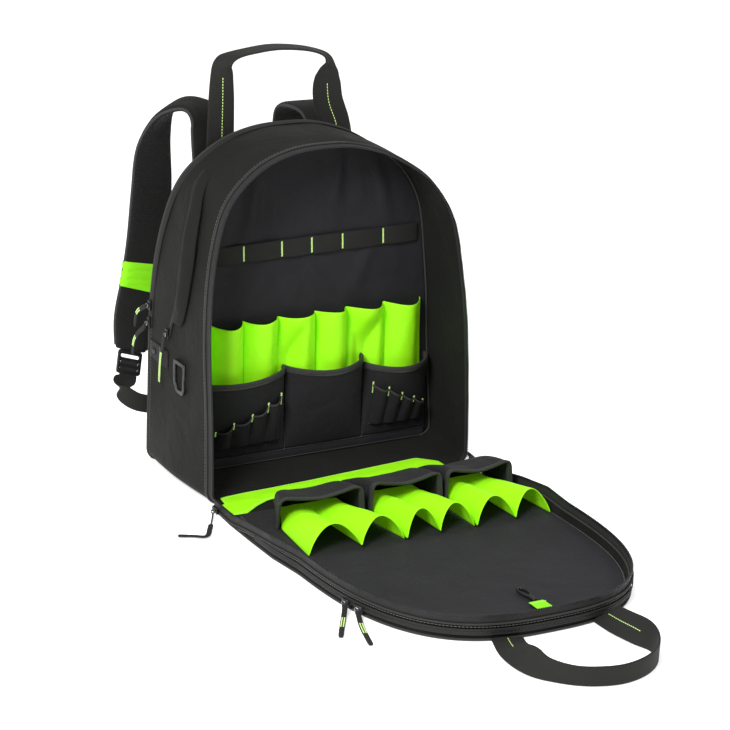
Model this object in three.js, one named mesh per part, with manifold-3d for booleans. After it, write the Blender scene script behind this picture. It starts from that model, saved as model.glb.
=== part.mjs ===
// Tool backpack standing open: its zipped front panel is laid flat on the ground before it.
// Millimetres. x runs to the right, y to the back and z up, from the centre of the body's base.

import * as THREE from 'three';
import { mergeVertices } from 'three/addons/utils/BufferGeometryUtils.js';
import Module from 'manifold-3d';

const wasm = await Module();
wasm.setup();

// Body
const WIDTH = 394;
const HEIGHT = 460;
const DEPTH = 215;
const SHOULDER = 166;          // height at which the straight sides turn into the arch
const ARCH_POWER = 2.8;        // 2 is an ellipse, more is squarer
const CORNER = 18;             // radius of the bottom corners
const FRONT_LEAN = 58;         // how far back the open front lies at the top
const REAR_LEAN = 7;           // how far forward the back lies at the top
const WALL = 3;
const SIDE_BULGE = 4;
const FLOOR_BULGE = 9;         // the sides' bulge at the floor
const SETTLE = 7;              // how far the arch has settled out of its even curve, at most
const BACK_PAD = 14;
const BACK_CROWN = 5;
const GAP = 0.3;               // between touching pieces

// Zips
const ZIP_TAPE = 12;
const ZIP_CLOTH = 1.2;
const ZIP_TEETH = 3.4;
const REAR_ZIP_BACK = 26;      // from the rear edge, at the top
const REAR_ZIP_END = 196;      // height of its two ends
const FLAT_ZIP = 9;            // width of the teeth and tape that show on a closed zip
const FLAT_ZIP_THICK = 1.8;

// Divider and what is sewn to it
const DIVIDER = 2.5;
const DIVIDER_Y = 13;          // its front face at the floor
const DIVIDER_LEAN = 25;       // how far back it lies at the top
const WEBBING = 26;
const WEBBING_THICK = 1.8;
const LOOP_HEIGHT = 303;
const LOOP_PUFF = 3;
const CLOTH = 1.6;
const PLEAT_TOP = 210;
const PLEAT_FOOT = 26;
const PLEAT_DEPTH = 30;
const PINCH = 26;              // reach of a pocket's seam across the lime strip
const POCKET_TOP = 140;
const POCKET_DEPTH = 42;
const HEM = 18;
const BINDING = 9;
const BINDING_THICK = 3.2;
const SLOT_FOOT = 37;
const SLOT_DEPTH = 3.4;
const SLOT_CLOTH = 1.2;

// Front panel, laid down
const HINGE = 87;              // hinge cloth and bottom wall between the body and the panel
const LID_DEPTH = 35;
const LID_FLARE = 6;
const LID_SPREAD = 6;          // how far the slack wall by the hinge lies outward
const LID_PANEL = 3;
const ORGANIZER_RISE = 8;      // underside of the panel that carries the lid's pockets
const ORGANIZER = 2.5;
const ORGANIZER_CROWN = 3;
const ORGANIZER_START = 60;    // from the body's front edge
const LID_POCKET_RISE = 36;    // above the organizer, at the mouth
const LID_POCKET_SAG = 7;
const LID_POCKET_START = 20;   // from the body's front edge to the pockets' sewn edge
const LID_POCKET_LENGTH = 112;
const LID_PLEAT_START = 64;
const LID_PLEAT_LENGTH = 160;
const LID_PLEAT_POINT = 10;    // how far the tips reach past the crests
const LID_PLEAT_RISE = 35;
const LID_ZIP_HEIGHT = 8;
const STRIP_LIFT = 1.2;        // slack in the lime hinge cloth

// Carrying
const GRIP_HALF = 92;          // from the middle of a handle to the middle of its leg
const GRIP_REACH = 117;
const GRIP_WEBBING = 44;
const GRIP_THICK = 3;
const GRIP_SEWN = 20;
const LID_GRIP_REACH = 180;
const STRAP_WIDTH = 62;
const STRAP_THICK = 10;
const STRAP_BOW = 85;          // how far the straps stand out behind the back
const BAND_THICK = 2;          // lime band round each strap
const LOCK_LENGTH = 34;
const LOCK_THICK = 7;
const TAIL_LEAD = 7;           // straight webbing below the lock
const TAIL_STEPS = 14;

// Left side
const SIDE_ZIP_FROM = 202;     // heights of its two ends
const SIDE_ZIP_TO = 416;
const FLAP_WIDTH = 26;
const FLAP_PUFF = 9;
const FLAP_CLOTH = 3;
const TAB_LENGTH = 62;
const TAB_HEIGHT = 168;
const TAB_INSET = 23.5;        // from the rear to the tab's sewn end
const TAB_BACK = DEPTH / 2 - TAB_INSET;
const RIVET = 9;
const RIVET_THICK = 2;
const RIVET_INSET = 18;        // from the tab's sewn end to the rivet
const RING_LONG = 46;
const RING_WIDE = 36;
const RING_BAR = 6;
const RING_HEIGHT = 156;       // of its middle
const RING_FRONT = -18;

// Sliders and pulls
const SLIDER_LONG = 14;
const SLIDER_WIDE = 9;
const SLIDER_THICK = 5;
const PULL_WIDE = 7;
const LOW_SLIDER = 8;          // from the rear zip's end up to its lower slider
const SLIDERS_APART = 24;
const PULL_REACH = 100;        // the pulls' cords are laid out in shares of it
const CORD = 3.4;
const PULL_THICK = 3;
const HOOK_LONG = 46;
const HOOK_WIDE = 13;
const HOOK_BAR = 4;
const KEY_TAB_LONG = 34;
const KEY_TAB_WIDE = 22;
const KEY_X = 16;              // how far right of the middle the key clip hangs
const KEY_TAB_FROM = 32;       // from the lid's far end to the tab

const ARCH_STEPS = 18;
const FACET_SLACK = 0.4;       // room left for the facets of curved walls
const CORNER_STEPS = 4;

const black = new THREE.MeshStandardMaterial({ name: 'black_cloth', color: 0x2a2a28, roughness: 0.85 });
const inner = new THREE.MeshStandardMaterial({ name: 'inner_cloth', color: 0x302e31, roughness: 0.8 });
const grey = new THREE.MeshStandardMaterial({ name: 'binding', color: 0x4c4b4d, roughness: 0.85 });
const lime = new THREE.MeshStandardMaterial({ name: 'lime_cloth', color: 0x8cf01c, roughness: 0.6 });
const webbing = new THREE.MeshStandardMaterial({ name: 'webbing', color: 0x30302d, roughness: 0.8 });
const zip = new THREE.MeshStandardMaterial({ name: 'zip', color: 0x242426, roughness: 0.55 });
const plastic = new THREE.MeshStandardMaterial({ name: 'plastic', color: 0x1b1b1c, roughness: 0.4 });
const metal = new THREE.MeshStandardMaterial({ name: 'metal', color: 0x8d8d90, roughness: 0.3, metalness: 1 });

const V = (x, y, z) => new THREE.Vector3(x, y, z);
const mix = THREE.MathUtils.lerp;
const bag = new THREE.Group();

// Reads a column of a table at a share from 0 to 1 of its rows.
function column(rows, name, share) {
  const place = THREE.MathUtils.clamp(share, 0, 1) * (rows.length - 1);
  const row = Math.min(Math.floor(place), rows.length - 2);
  return mix(rows[row][name], rows[row + 1][name], place - row);
}

// Makes one closed body from points and triangles, with its faces pointing out.
function closedBody(points, faces) {
  let volume = 0;
  for (const [a, b, c] of faces) {
    volume += points[a].dot(V().crossVectors(points[b], points[c]));
  }
  const index = faces.flatMap(([a, b, c]) => (volume > 0 ? [a, b, c] : [a, c, b]));
  const body = new THREE.BufferGeometry();
  body.setAttribute('position', new THREE.Float32BufferAttribute(points.flatMap((p) => p.toArray()), 3));
  body.setIndex(index);
  return body;
}

// Carries loops of as many points each from one to the next. A path that isn't closed gets two ends.
function sweptBody(loops, closed) {
  const size = loops[0].length;
  const points = loops.flat();
  const faces = [];
  const spans = closed ? loops.length : loops.length - 1;
  for (let i = 0; i < spans; i += 1) {
    const here = i * size;
    const next = ((i + 1) % loops.length) * size;
    for (let j = 0; j < size; j += 1) {
      const k = (j + 1) % size;
      faces.push([here + j, here + k, next + k], [here + j, next + k, next + j]);
    }
  }
  if (!closed) {
    const last = points.length - size;
    for (const [a, b, c] of capOf(loops[0])) faces.push([a, c, b]);
    for (const [a, b, c] of capOf(loops[loops.length - 1])) faces.push([last + a, last + b, last + c]);
  }
  return closedBody(points, faces);
}

// Triangulates a nearly flat loop in its own plane.
function capOf(loop) {
  const normal = V(0, 0, 0);
  loop.forEach((p, i) => normal.add(V().crossVectors(p, loop[(i + 1) % loop.length])));
  normal.normalize();
  const side = loop[1].clone().sub(loop[0]).normalize();
  const up = V().crossVectors(normal, side);
  const flat = loop.map((p) => new THREE.Vector2(p.dot(side), p.dot(up)));
  return THREE.ShapeUtils.triangulateShape(flat, []);
}

// Makes a sheet of cloth: outer(u, v) and back(u, v) are its two faces, u and v from 0 to 1.
function clothBody(outer, back, across, along) {
  const loops = [];
  for (let i = 0; i <= across; i += 1) {
    const loop = [];
    for (let j = 0; j <= along; j += 1) loop.push(outer(i / across, j / along));
    for (let j = along; j >= 0; j -= 1) loop.push(back(i / across, j / along));
    loops.push(loop);
  }
  return stripBody(loops, along);
}

// As sweptBody, with each end closed by a strip between its two faces.
function stripBody(loops, along) {
  const size = loops[0].length;
  const points = loops.flat();
  const faces = [];
  for (let i = 0; i < loops.length - 1; i += 1) {
    const here = i * size;
    const next = here + size;
    for (let j = 0; j < size; j += 1) {
      const k = (j + 1) % size;
      faces.push([here + j, here + k, next + k], [here + j, next + k, next + j]);
    }
  }
  for (const [base, flip] of [[0, true], [points.length - size, false]]) {
    for (let j = 0; j < along; j += 1) {
      const quad = [base + j, base + j + 1, base + size - 2 - j, base + size - 1 - j];
      const [a, b, c, d] = flip ? quad.reverse() : quad;
      faces.push([a, b, c], [a, c, d]);
    }
  }
  return closedBody(points, faces);
}

// Makes a sheet from one surface: its faces lie low and high off it, on the side that facing points to.
function shellBody(at, facing, low, high, across, along) {
  const grid = [];
  for (let i = 0; i <= across; i += 1) {
    const row = [];
    for (let j = 0; j <= along; j += 1) row.push(at(i / across, j / along));
    grid.push(row);
  }
  const off = (u, v, height) => {
    const i = Math.round(u * across);
    const j = Math.round(v * along);
    const one = grid[Math.min(i + 1, across)][j].clone().sub(grid[Math.max(i - 1, 0)][j]);
    const two = grid[i][Math.min(j + 1, along)].clone().sub(grid[i][Math.max(j - 1, 0)]);
    const normal = one.cross(two).normalize();
    if (normal.dot(facing) < 0) normal.negate();
    if (i === 0 || i === across) normal.lerp(facing, 1);
    return grid[i][j].clone().addScaledVector(normal, height);
  };
  return clothBody((u, v) => off(u, v, high), (u, v) => off(u, v, low), across, along);
}

// Closes an outline into a plate whose two faces are crowned: height(share) lifts each ring.
function crownedPlate(outline, place, thickness, crown) {
  const rings = [1, 0.7, 0.38];
  const points = [];
  const faces = [];
  const count = outline.length;
  const middle = outline.reduce((sum, p) => sum.add(p), new THREE.Vector2()).divideScalar(count);
  for (const face of [0, 1]) {
    const start = points.length;
    for (const ring of rings) {
      for (const p of outline) {
        const q = middle.clone().lerp(p, ring);
        points.push(place(q.x, q.y, face * thickness + crown * (1 - ring * ring)));
      }
    }
    points.push(place(middle.x, middle.y, face * thickness + crown));
    const centre = points.length - 1;
    for (let i = 0; i < count; i += 1) {
      const k = (i + 1) % count;
      const add = (a, b, c) => faces.push(face ? [a, b, c] : [a, c, b]);
      for (let r = 0; r < rings.length - 1; r += 1) {
        const a = start + r * count;
        const b = a + count;
        add(a + i, a + k, b + k);
        add(a + i, b + k, b + i);
      }
      const last = start + (rings.length - 1) * count;
      add(last + i, last + k, centre);
    }
  }
  const other = rings.length * count + 1;
  for (let i = 0; i < count; i += 1) {
    const k = (i + 1) % count;
    faces.push([i, k, other + k], [i, other + k, other + i]);
  }
  return closedBody(points, faces);
}

// Joins overlapping bodies into one.
function join(...bodies) {
  const solids = bodies.map((body) => {
    const plain = body.clone();
    plain.deleteAttribute('normal');
    plain.deleteAttribute('uv');
    const merged = mergeVertices(plain, 1e-3);
    const triVerts = Uint32Array.from(merged.index.array);
    const vertProperties = Float32Array.from(merged.attributes.position.array);
    return new wasm.Manifold(new wasm.Mesh({ numProp: 3, vertProperties, triVerts }));
  });
  const mesh = solids.reduce((sum, solid) => sum.add(solid)).getMesh();
  const joined = new THREE.BufferGeometry();
  joined.setAttribute('position', new THREE.BufferAttribute(mesh.vertProperties, 3));
  joined.setIndex([...mesh.triVerts]);
  return joined;
}

function add(name, geometry, material) {
  const mesh = new THREE.Mesh(geometry, material);
  mesh.name = name;
  bag.add(mesh);
  return mesh;
}

// The body's outline, seen from the front, and what lies on its walls.
const frontAt = (z) => -DEPTH / 2 + FRONT_LEAN * (z / HEIGHT) ** 2;
const rearAt = (z) => DEPTH / 2 - REAR_LEAN * (z / HEIGHT);
const dividerAt = (z) => DIVIDER_Y + DIVIDER_LEAN * (z / HEIGHT);

function bodyOutline() {
  const half = WIDTH / 2;
  const right = [V(half * 0.4, 0, 0)];
  for (let i = 0; i <= CORNER_STEPS; i += 1) {
    const turn = (i / CORNER_STEPS) * (Math.PI / 2);
    right.push(V(half - CORNER * (1 - Math.sin(turn)), 0, CORNER * (1 - Math.cos(turn))));
  }
  right.push(V(half, 0, (CORNER + SHOULDER) / 2));
  const left = right.slice().reverse().map((p) => V(-p.x, 0, p.z));
  const arch = [];
  for (let i = 0; i <= ARCH_STEPS; i += 1) {
    const share = i / ARCH_STEPS;
    const turn = share * Math.PI;
    const p = archPoint(turn);
    const out = SETTLE * column(ARCH_ROWS, 'out', share);
    arch.push(p.add(V(Math.cos(turn), 0, Math.sin(turn)).multiplyScalar(out)));
  }
  return withNormals([...right, ...arch, ...left], true);
}

function archPoint(turn) {
  const x = Math.abs(Math.cos(turn)) ** (2 / ARCH_POWER) * Math.sign(Math.cos(turn));
  const z = Math.max(Math.sin(turn), 0) ** (2 / ARCH_POWER);
  return V((WIDTH / 2) * x, 0, SHOULDER + (HEIGHT - SHOULDER) * z);
}

// How far the body's arch stands out of its even curve, from the right shoulder over to the left one.
const ARCH_ROWS = [
  { out: 0 },
  { out: 0 },
  { out: 0.9 },
  { out: 0.4 },
  { out: -0.6 },
  { out: -0.5 },
  { out: 0.3 },
  { out: 0.1 },
  { out: 0 },
  { out: 0.3 },
  { out: -0.1 },
  { out: -0.2 },
  { out: 0 },
];

// Gives each point of an outline in x and z its outward direction.
function withNormals(points, closed) {
  const count = points.length;
  return points.map((p, i) => {
    const before = points[closed ? (i + count - 1) % count : Math.max(i - 1, 0)];
    const after = points[closed ? (i + 1) % count : Math.min(i + 1, count - 1)];
    const one = p.clone().sub(before).normalize();
    const two = after.clone().sub(p).normalize();
    const along = one.add(two).normalize();
    return { x: p.x, z: p.z, nx: along.z, nz: -along.x };
  });
}

const OUTLINE = bodyOutline();
const TOP_SPOT = Math.floor(OUTLINE.length / 2);
const FIRST_WALL = 2;                                  // where the right corner leaves the floor
const LAST_WALL = OUTLINE.length - 1 - FIRST_WALL;

// How full the sides' bulge is, from the front to the back of the body.
const BULGE_ROWS = [{ full: 0 }, { full: 0.72 }, { full: 1 }, { full: 0.72 }, { full: 0 }];

// A point on the body's skin beside an outline spot, at a distance back and a height above the skin.
function skin(spot, y, out) {
  const share = (y - frontAt(spot.z)) / (rearAt(spot.z) - frontAt(spot.z));
  const bulge = mix(FLOOR_BULGE, SIDE_BULGE, THREE.MathUtils.smoothstep(spot.z, 0, SHOULDER));
  const puff = bulge * column(BULGE_ROWS, 'full', share);
  return V(spot.x + spot.nx * (puff + out), y, spot.z + spot.nz * out + Math.max(spot.nz, 0) * puff);
}

// Reads a wall's outline at a height: side is -1 for the left wall and 1 for the right one.
function wallSpot(side, z) {
  const wall = side > 0 ? OUTLINE.slice(1, TOP_SPOT + 1) : OUTLINE.slice(TOP_SPOT, -1).reverse();
  let i = wall.findIndex((spot) => spot.z > z);
  i = i < 0 ? wall.length - 1 : Math.max(i, 1);
  const part = (z - wall[i - 1].z) / (wall[i].z - wall[i - 1].z);
  const [low, high] = [wall[i - 1], wall[i]];
  return { x: mix(low.x, high.x, part), z, nx: mix(low.nx, high.nx, part), nz: mix(low.nz, high.nz, part) };
}

const leftSpot = (z) => wallSpot(-1, z);

function bodyGusset() {
  const loops = OUTLINE.map((spot) => {
    const between = [0.25, 0.5, 0.75].map((share) => mix(frontAt(spot.z), rearAt(spot.z), share));
    const front = spot.z > 0 ? frontAt(spot.z) + ZIP_TAPE : frontAt(0);
    const places = [front, ...between, rearAt(spot.z) - BACK_PAD - GAP];
    const outer = places.map((y) => skin(spot, y, 0));
    const back = places.map((y) => skin(spot, y, -WALL)).reverse();
    return [...outer, ...back];
  });
  return sweptBody(loops, true);
}

function backPanel() {
  const outline = OUTLINE.map((spot) => new THREE.Vector2(spot.x, spot.z));
  const place = (x, z, out) => V(x, rearAt(z) - BACK_PAD + out, z);
  return crownedPlate(outline, place, BACK_PAD, BACK_CROWN);
}

function dividerPanel() {
  const loop = (back) => OUTLINE.map((spot) => {
    const { x, z } = skin(spot, dividerAt(spot.z), -WALL - GAP);
    return V(x, dividerAt(z) + back, z);
  });
  return sweptBody([loop(0), loop(DIVIDER)], false);
}

// Zip tape with its row of teeth along the free edge, as depth from that edge and height.
const TAPE = [
  [0, -ZIP_TEETH / 2],
  [ZIP_TEETH, -ZIP_TEETH / 2],
  [ZIP_TEETH, -ZIP_CLOTH / 2],
  [ZIP_TAPE - GAP, -ZIP_CLOTH / 2],
  [ZIP_TAPE - GAP, ZIP_CLOTH / 2],
  [ZIP_TEETH, ZIP_CLOTH / 2],
  [ZIP_TEETH, ZIP_TEETH / 2],
  [0, ZIP_TEETH / 2],
];

function mainZipBody() {
  const loops = OUTLINE.slice(FIRST_WALL, LAST_WALL + 1).map((spot) => TAPE.map(([depth, out]) => (
    skin(spot, frontAt(spot.z) + depth, out - WALL / 2))));
  return sweptBody(loops, false);
}

// How far back the rear zip runs at a height.
function rearZipBack(z) {
  const rise = (z - REAR_ZIP_END) / (HEIGHT - REAR_ZIP_END);
  return rearAt(z) - mix(BACK_PAD + GAP + FLAT_ZIP / 2 + 1, REAR_ZIP_BACK, rise);
}

function rearZip() {
  const arch = OUTLINE.filter((spot) => spot.z > REAR_ZIP_END + 10);
  const spots = [wallSpot(1, REAR_ZIP_END), ...arch, leftSpot(REAR_ZIP_END)];
  const loops = spots.map((spot) => {
    const y = rearZipBack(spot.z);
    return [[-0.5, 0], [0.5, 0], [0.5, 0.6], [0.15, 1], [-0.15, 1], [-0.5, 0.6]].map(([across, up]) => (
      skin(spot, y + across * FLAT_ZIP, GAP + up * FLAT_ZIP_THICK)));
  });
  return sweptBody(loops, false);
}

// A point a distance in front of what lies against the divider.
const onDivider = (x, z, forward) => V(x, dividerAt(z) - GAP - forward, z);
const INSIDE = WIDTH / 2 - WALL - GAP;

// Turns a share of half the inside width, from -1 to 1, into x at a height.
function insideAt(share, z) {
  const spots = OUTLINE.filter((spot) => spot.x * share > 0 || spot.z === 0);
  const wall = spots.map((spot) => {
    const x = Math.abs(spot.x) - Math.abs(spot.nx) * (WALL + GAP);
    return { x, z: spot.z - spot.nz * (WALL + GAP) };
  }).sort((a, b) => a.z - b.z);
  let i = wall.findIndex((spot) => spot.z > z);
  i = i < 0 ? wall.length - 1 : Math.max(i, 1);
  const part = THREE.MathUtils.clamp((z - wall[i - 1].z) / (wall[i].z - wall[i - 1].z), 0, 1);
  return share * (mix(wall[i - 1].x, wall[i].x, part) - FACET_SLACK);
}

// Where the loop strip is tacked down, and where the lime strip is, as shares of half the inside width.
const LOOP_TACKS = [-0.985, -0.72, -0.47, -0.16, 0.085, 0.34, 0.68, 0.975];
const PLEAT_TACKS = [-0.975, -0.725, -0.472, -0.195, 0.1, 0.35, 0.655, 0.96];
const PLEAT_GROUPS = [
  { name: 'pleats_left', from: 0, to: 3 },
  { name: 'pleats_middle', from: 3, to: 5 },
  { name: 'pleats_right', from: 5, to: 7 },
];

// Places along a row of tunnels: a share of half the width, and how full the tunnel is, from 0 to 1.
function tunnels(tacks, from, to, steps) {
  const places = [];
  for (let tack = from; tack < to; tack += 1) {
    for (let i = 0; i < steps; i += 1) places.push({ tack, part: i / steps });
  }
  places.push({ tack: to - 1, part: 1 });
  return places.map(({ tack, part }) => ({
    tack,
    part,
    share: mix(tacks[tack], tacks[tack + 1], part),
    full: Math.sin(Math.PI * part) ** 0.75,
  }));
}

function loopStrip() {
  const places = tunnels(LOOP_TACKS, 0, LOOP_TACKS.length - 1, 4);
  const loops = places.map(({ share, full }) => {
    const low = LOOP_PUFF * full;
    const half = WEBBING / 2;
    const corners = [[-half, low], [half, low], [half, low + WEBBING_THICK], [-half, low + WEBBING_THICK]];
    const x = insideAt(share, LOOP_HEIGHT + half);
    return corners.map(([up, forward]) => onDivider(x, LOOP_HEIGHT + up, forward));
  });
  return sweptBody(loops, false);
}

// The three black pockets, from and to as shares of half the inside width, top as a share.
const POCKETS = [
  { name: 'left', from: -0.985, to: -0.165, top: 1 },
  { name: 'middle', from: -0.145, to: 0.462, top: 1 },
  { name: 'right', from: 0.482, to: 0.985, top: 0.92 },
];

// The lime strip lies flat where a pocket's side is sewn through it, up to the pockets' mouths.
function pinched(x, z) {
  const near = Math.min(...POCKETS.flatMap(({ from, to }) => [from, to]).map((edge) => (
    Math.abs(x - INSIDE * edge))));
  const free = THREE.MathUtils.smoothstep(near, 2, PINCH);
  return Math.max(free, THREE.MathUtils.smoothstep(z, POCKET_TOP, PLEAT_TOP));
}

// Heights of the lime strip's rows, as shares from its foot to its top.
const PLEAT_ROWS = [0, 0.3, 0.63, 0.8, 1];

function pleats(group) {
  const places = tunnels(PLEAT_TACKS, group.from, group.to, 6);
  const first = places[0];
  const last = places[places.length - 1];
  const at = (u, v) => {
    const place = places[Math.round(u * (places.length - 1))];
    const row = PLEAT_ROWS[Math.round(v * (PLEAT_ROWS.length - 1))];
    const z = mix(PLEAT_FOOT, PLEAT_TOP, row);
    const seam = (place === first ? GAP : 0) - (place === last ? GAP : 0);
    const x = insideAt(place.share, z) + seam;
    return onDivider(x, z, PLEAT_DEPTH * place.full * row ** 0.8 * pinched(x, z));
  };
  return shellBody(at, V(0, -1, 0), 0, CLOTH, places.length - 1, PLEAT_ROWS.length - 1);
}

// A point of the back of a pocket's face: u across and z up.
function pocketFace(pocket, u, z) {
  const x = mix(insideAt(pocket.from, z), insideAt(pocket.to, z), u);
  const rise = THREE.MathUtils.clamp((z - HEM) / (POCKET_TOP * pocket.top - HEM), 0, 1);
  const full = Math.sin(Math.PI * THREE.MathUtils.clamp(u, 0, 1)) ** 0.6;
  return onDivider(x, z, CLOTH + 4 * GAP + POCKET_DEPTH * full * rise ** 0.85);
}

// Puts more steps near both ends, where a pocket's side turns.
const ease = (u) => 0.5 - 0.5 * Math.cos(Math.PI * u);

function pocketBody(pocket) {
  const top = POCKET_TOP * pocket.top - BINDING;
  const at = (u, v) => pocketFace(pocket, ease(u), mix(HEM + 1, top, v));
  return shellBody(at, V(0, -1, 0), 0, CLOTH, 12, 4);
}

function pocketBinding(pocket) {
  const top = POCKET_TOP * pocket.top;
  const extra = (BINDING_THICK - CLOTH) / 2;
  const at = (u, v) => pocketFace(pocket, ease(u), mix(top - BINDING + 2 * GAP, top, v));
  return shellBody(at, V(0, -1, 0), -extra, CLOTH + extra, 12, 1);
}

// Narrow tool slots sewn to a pocket's face. u and top are shares of the pocket at each tack.
const SLOTS_LEFT = [
  { u: 0.29, top: 0.5 },
  { u: 0.45, top: 0.58 },
  { u: 0.62, top: 0.65 },
  { u: 0.78, top: 0.74 },
  { u: 0.93, top: 0.8 },
];
const SLOTS_RIGHT = [
  { u: 0.07, top: 0.84 },
  { u: 0.27, top: 0.79 },
  { u: 0.48, top: 0.7 },
  { u: 0.7, top: 0.62 },
  { u: 0.9, top: 0.54 },
];

function toolSlots(pocket, tacks) {
  const steps = 4;
  const count = (tacks.length - 1) * steps;
  const top = POCKET_TOP * pocket.top - BINDING - GAP;
  const at = (u, v) => {
    const place = u * (tacks.length - 1);
    const slot = Math.min(Math.floor(place + 1e-6), tacks.length - 2);
    const part = place - slot;
    const across = mix(tacks[slot].u, tacks[slot + 1].u, part);
    const high = top * mix(tacks[slot].top, tacks[slot + 1].top, part);
    const puff = SLOT_DEPTH * Math.max(Math.sin(Math.PI * part), 0) ** 0.7 * v;
    const p = pocketFace(pocket, across, mix(SLOT_FOOT, high, v));
    return p.add(V(0, -puff, 0));
  };
  const off = CLOTH + GAP + 2 * FACET_SLACK;
  return shellBody(at, V(0, -1, 0), off, off + SLOT_CLOTH, count, 3);
}

function hemBand() {
  const low = WALL + 2 * GAP + FACET_SLACK;
  const at = (u, v) => {
    const z = mix(low, HEM, v);
    return onDivider(insideAt(mix(-1, 1, u), z), z, 0);
  };
  return shellBody(at, V(0, -1, 0), 0, CLOTH, 9, 2);
}

// The front panel's outline on the ground: a path from the left hinge end round to the right one.
const LID_START = -DEPTH / 2 - 2 * GAP - ZIP_TEETH;
const LID_BASE = -DEPTH / 2 - HINGE;

function lidPath() {
  const left = [];
  for (const share of [0, 0.14, 0.28, 0.45, 0.7]) {
    left.push(V(-WIDTH / 2, 0, mix(-LID_START, -LID_BASE + SHOULDER, share)));
  }
  for (let i = 0; i < ARCH_STEPS / 2; i += 1) {
    const p = archPoint((i / ARCH_STEPS) * Math.PI);
    left.push(V(-p.x, 0, p.z - LID_BASE));
  }
  const right = left.slice().reverse().map((p) => V(-p.x, 0, p.z));
  const path = withNormals([...left, V(0, 0, HEIGHT - LID_BASE), ...right], false);
  return path.map((spot) => ({ x: spot.x, y: -spot.z, nx: -spot.nx, ny: spot.nz }));
}

const LID_PATH = lidPath();

// The lid's wall is low by the hinge and full height from a little way along, as shares.
const LID_WALL_ROWS = [
  { rise: 0.4, flare: 0.2, spread: 0 },
  { rise: 0.45, flare: 0.4, spread: 0.8 },
  { rise: 0.75, flare: 0.8, spread: 1 },
  { rise: 0.95, flare: 1, spread: 1 },
  { rise: 1, flare: 0.6, spread: 0 },
];

// A point of the lid's wall: inward from its outside, and a share of the height there or a length off it.
function lidWall(spot, inward, share, off) {
  const away = (LID_START - spot.y) / (HINGE + SHOULDER);
  const rise = LID_DEPTH * column(LID_WALL_ROWS, 'rise', away);
  const z = rise * share + off;
  const flare = LID_FLARE * column(LID_WALL_ROWS, 'flare', away) * (z / LID_DEPTH);
  const spread = LID_SPREAD * column(LID_WALL_ROWS, 'spread', away);
  const move = flare + spread - inward;
  return V(spot.x + spot.nx * move, spot.y + spot.ny * move, z);
}

function lidGusset() {
  const low = (spot, inward) => lidWall(spot, inward, 0, 0);
  const middle = (spot, inward) => lidWall(spot, inward - 1, 0.5, -ZIP_TAPE / 2);
  const high = (spot, inward) => lidWall(spot, inward, 1, -ZIP_TAPE);
  const loops = LID_PATH.map((spot) => [
    low(spot, 0), middle(spot, 0), high(spot, 0), high(spot, WALL), middle(spot, WALL), low(spot, WALL),
  ]);
  return sweptBody(loops, false);
}

function mainZipLid() {
  const loops = LID_PATH.map((spot) => TAPE.map(([depth, out]) => (
    lidWall(spot, WALL / 2 - out, 1, -depth))));
  return sweptBody(loops, false);
}

function lidPocketZip() {
  const spots = LID_PATH.filter((spot) => spot.y < LID_BASE - SHOULDER / 3);
  const loops = spots.map((spot) => [[0, 0], [0.3, 1], [0.7, 1], [1, 0]].map(([up, out]) => (
    lidWall(spot, -1 - GAP - out * FLAT_ZIP_THICK, 0, LID_ZIP_HEIGHT + up * FLAT_ZIP))));
  return sweptBody(loops, false);
}

// The lid's outline between a start line and its far end, inside the wall.
function insideLid(inset, start) {
  const points = LID_PATH.filter((spot) => spot.y < start - 4).map((spot) => (
    new THREE.Vector2(spot.x - spot.nx * inset, spot.y - spot.ny * inset)));
  const side = WIDTH / 2 - inset;
  return [new THREE.Vector2(-side, start), ...points, new THREE.Vector2(side, start)];
}

function lidPanel() {
  const outline = insideLid(WALL + GAP, LID_BASE - GAP);
  const loop = (z) => outline.map((p) => V(p.x, p.y, z));
  return sweptBody([loop(0), loop(LID_PANEL)], false);
}

function lidBottomGusset() {
  const side = WIDTH / 2 - WALL - GAP;
  const plate = new THREE.BoxGeometry(side * 2, -LID_BASE - DEPTH / 2 - 2 * GAP, LID_PANEL);
  plate.translate(0, (LID_BASE - DEPTH / 2) / 2, LID_PANEL / 2);
  return plate;
}

const LID_FACE = ORGANIZER_RISE + ORGANIZER;

function lidOrganizer() {
  const outline = insideLid(WALL + 2 * GAP, -DEPTH / 2 - ORGANIZER_START);
  const place = (x, y, out) => V(x, y, ORGANIZER_RISE + out);
  return crownedPlate(outline, place, ORGANIZER, -ORGANIZER_CROWN);
}

// Where each lid pleat is tacked, as shares of half the inside: at its start, at the pocket's mouth
// and at its free tip.
const LID_PLEAT_GROUPS = [
  {
    name: 'lid_pleats_left',
    tacks: [
      { start: -0.66, mouth: -0.83, tip: -0.885 },
      { start: -0.47, mouth: -0.5, tip: -0.49 },
      { start: -0.23, mouth: -0.225, tip: -0.165 },
    ],
  },
  {
    name: 'lid_pleats_middle',
    tacks: [
      { start: -0.12, mouth: -0.11, tip: -0.14 },
      { start: 0.115, mouth: 0.115, tip: 0.11 },
      { start: 0.37, mouth: 0.38, tip: 0.375 },
    ],
  },
  {
    name: 'lid_pleats_right',
    tacks: [
      { start: 0.475, mouth: 0.48, tip: 0.4 },
      { start: 0.7, mouth: 0.7, tip: 0.7 },
      { start: 0.915, mouth: 0.94, tip: 0.975 },
    ],
  },
];
const LID_PLEAT_ROWS = [0, 0.42, 0.6, 0.8, 1];

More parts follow.
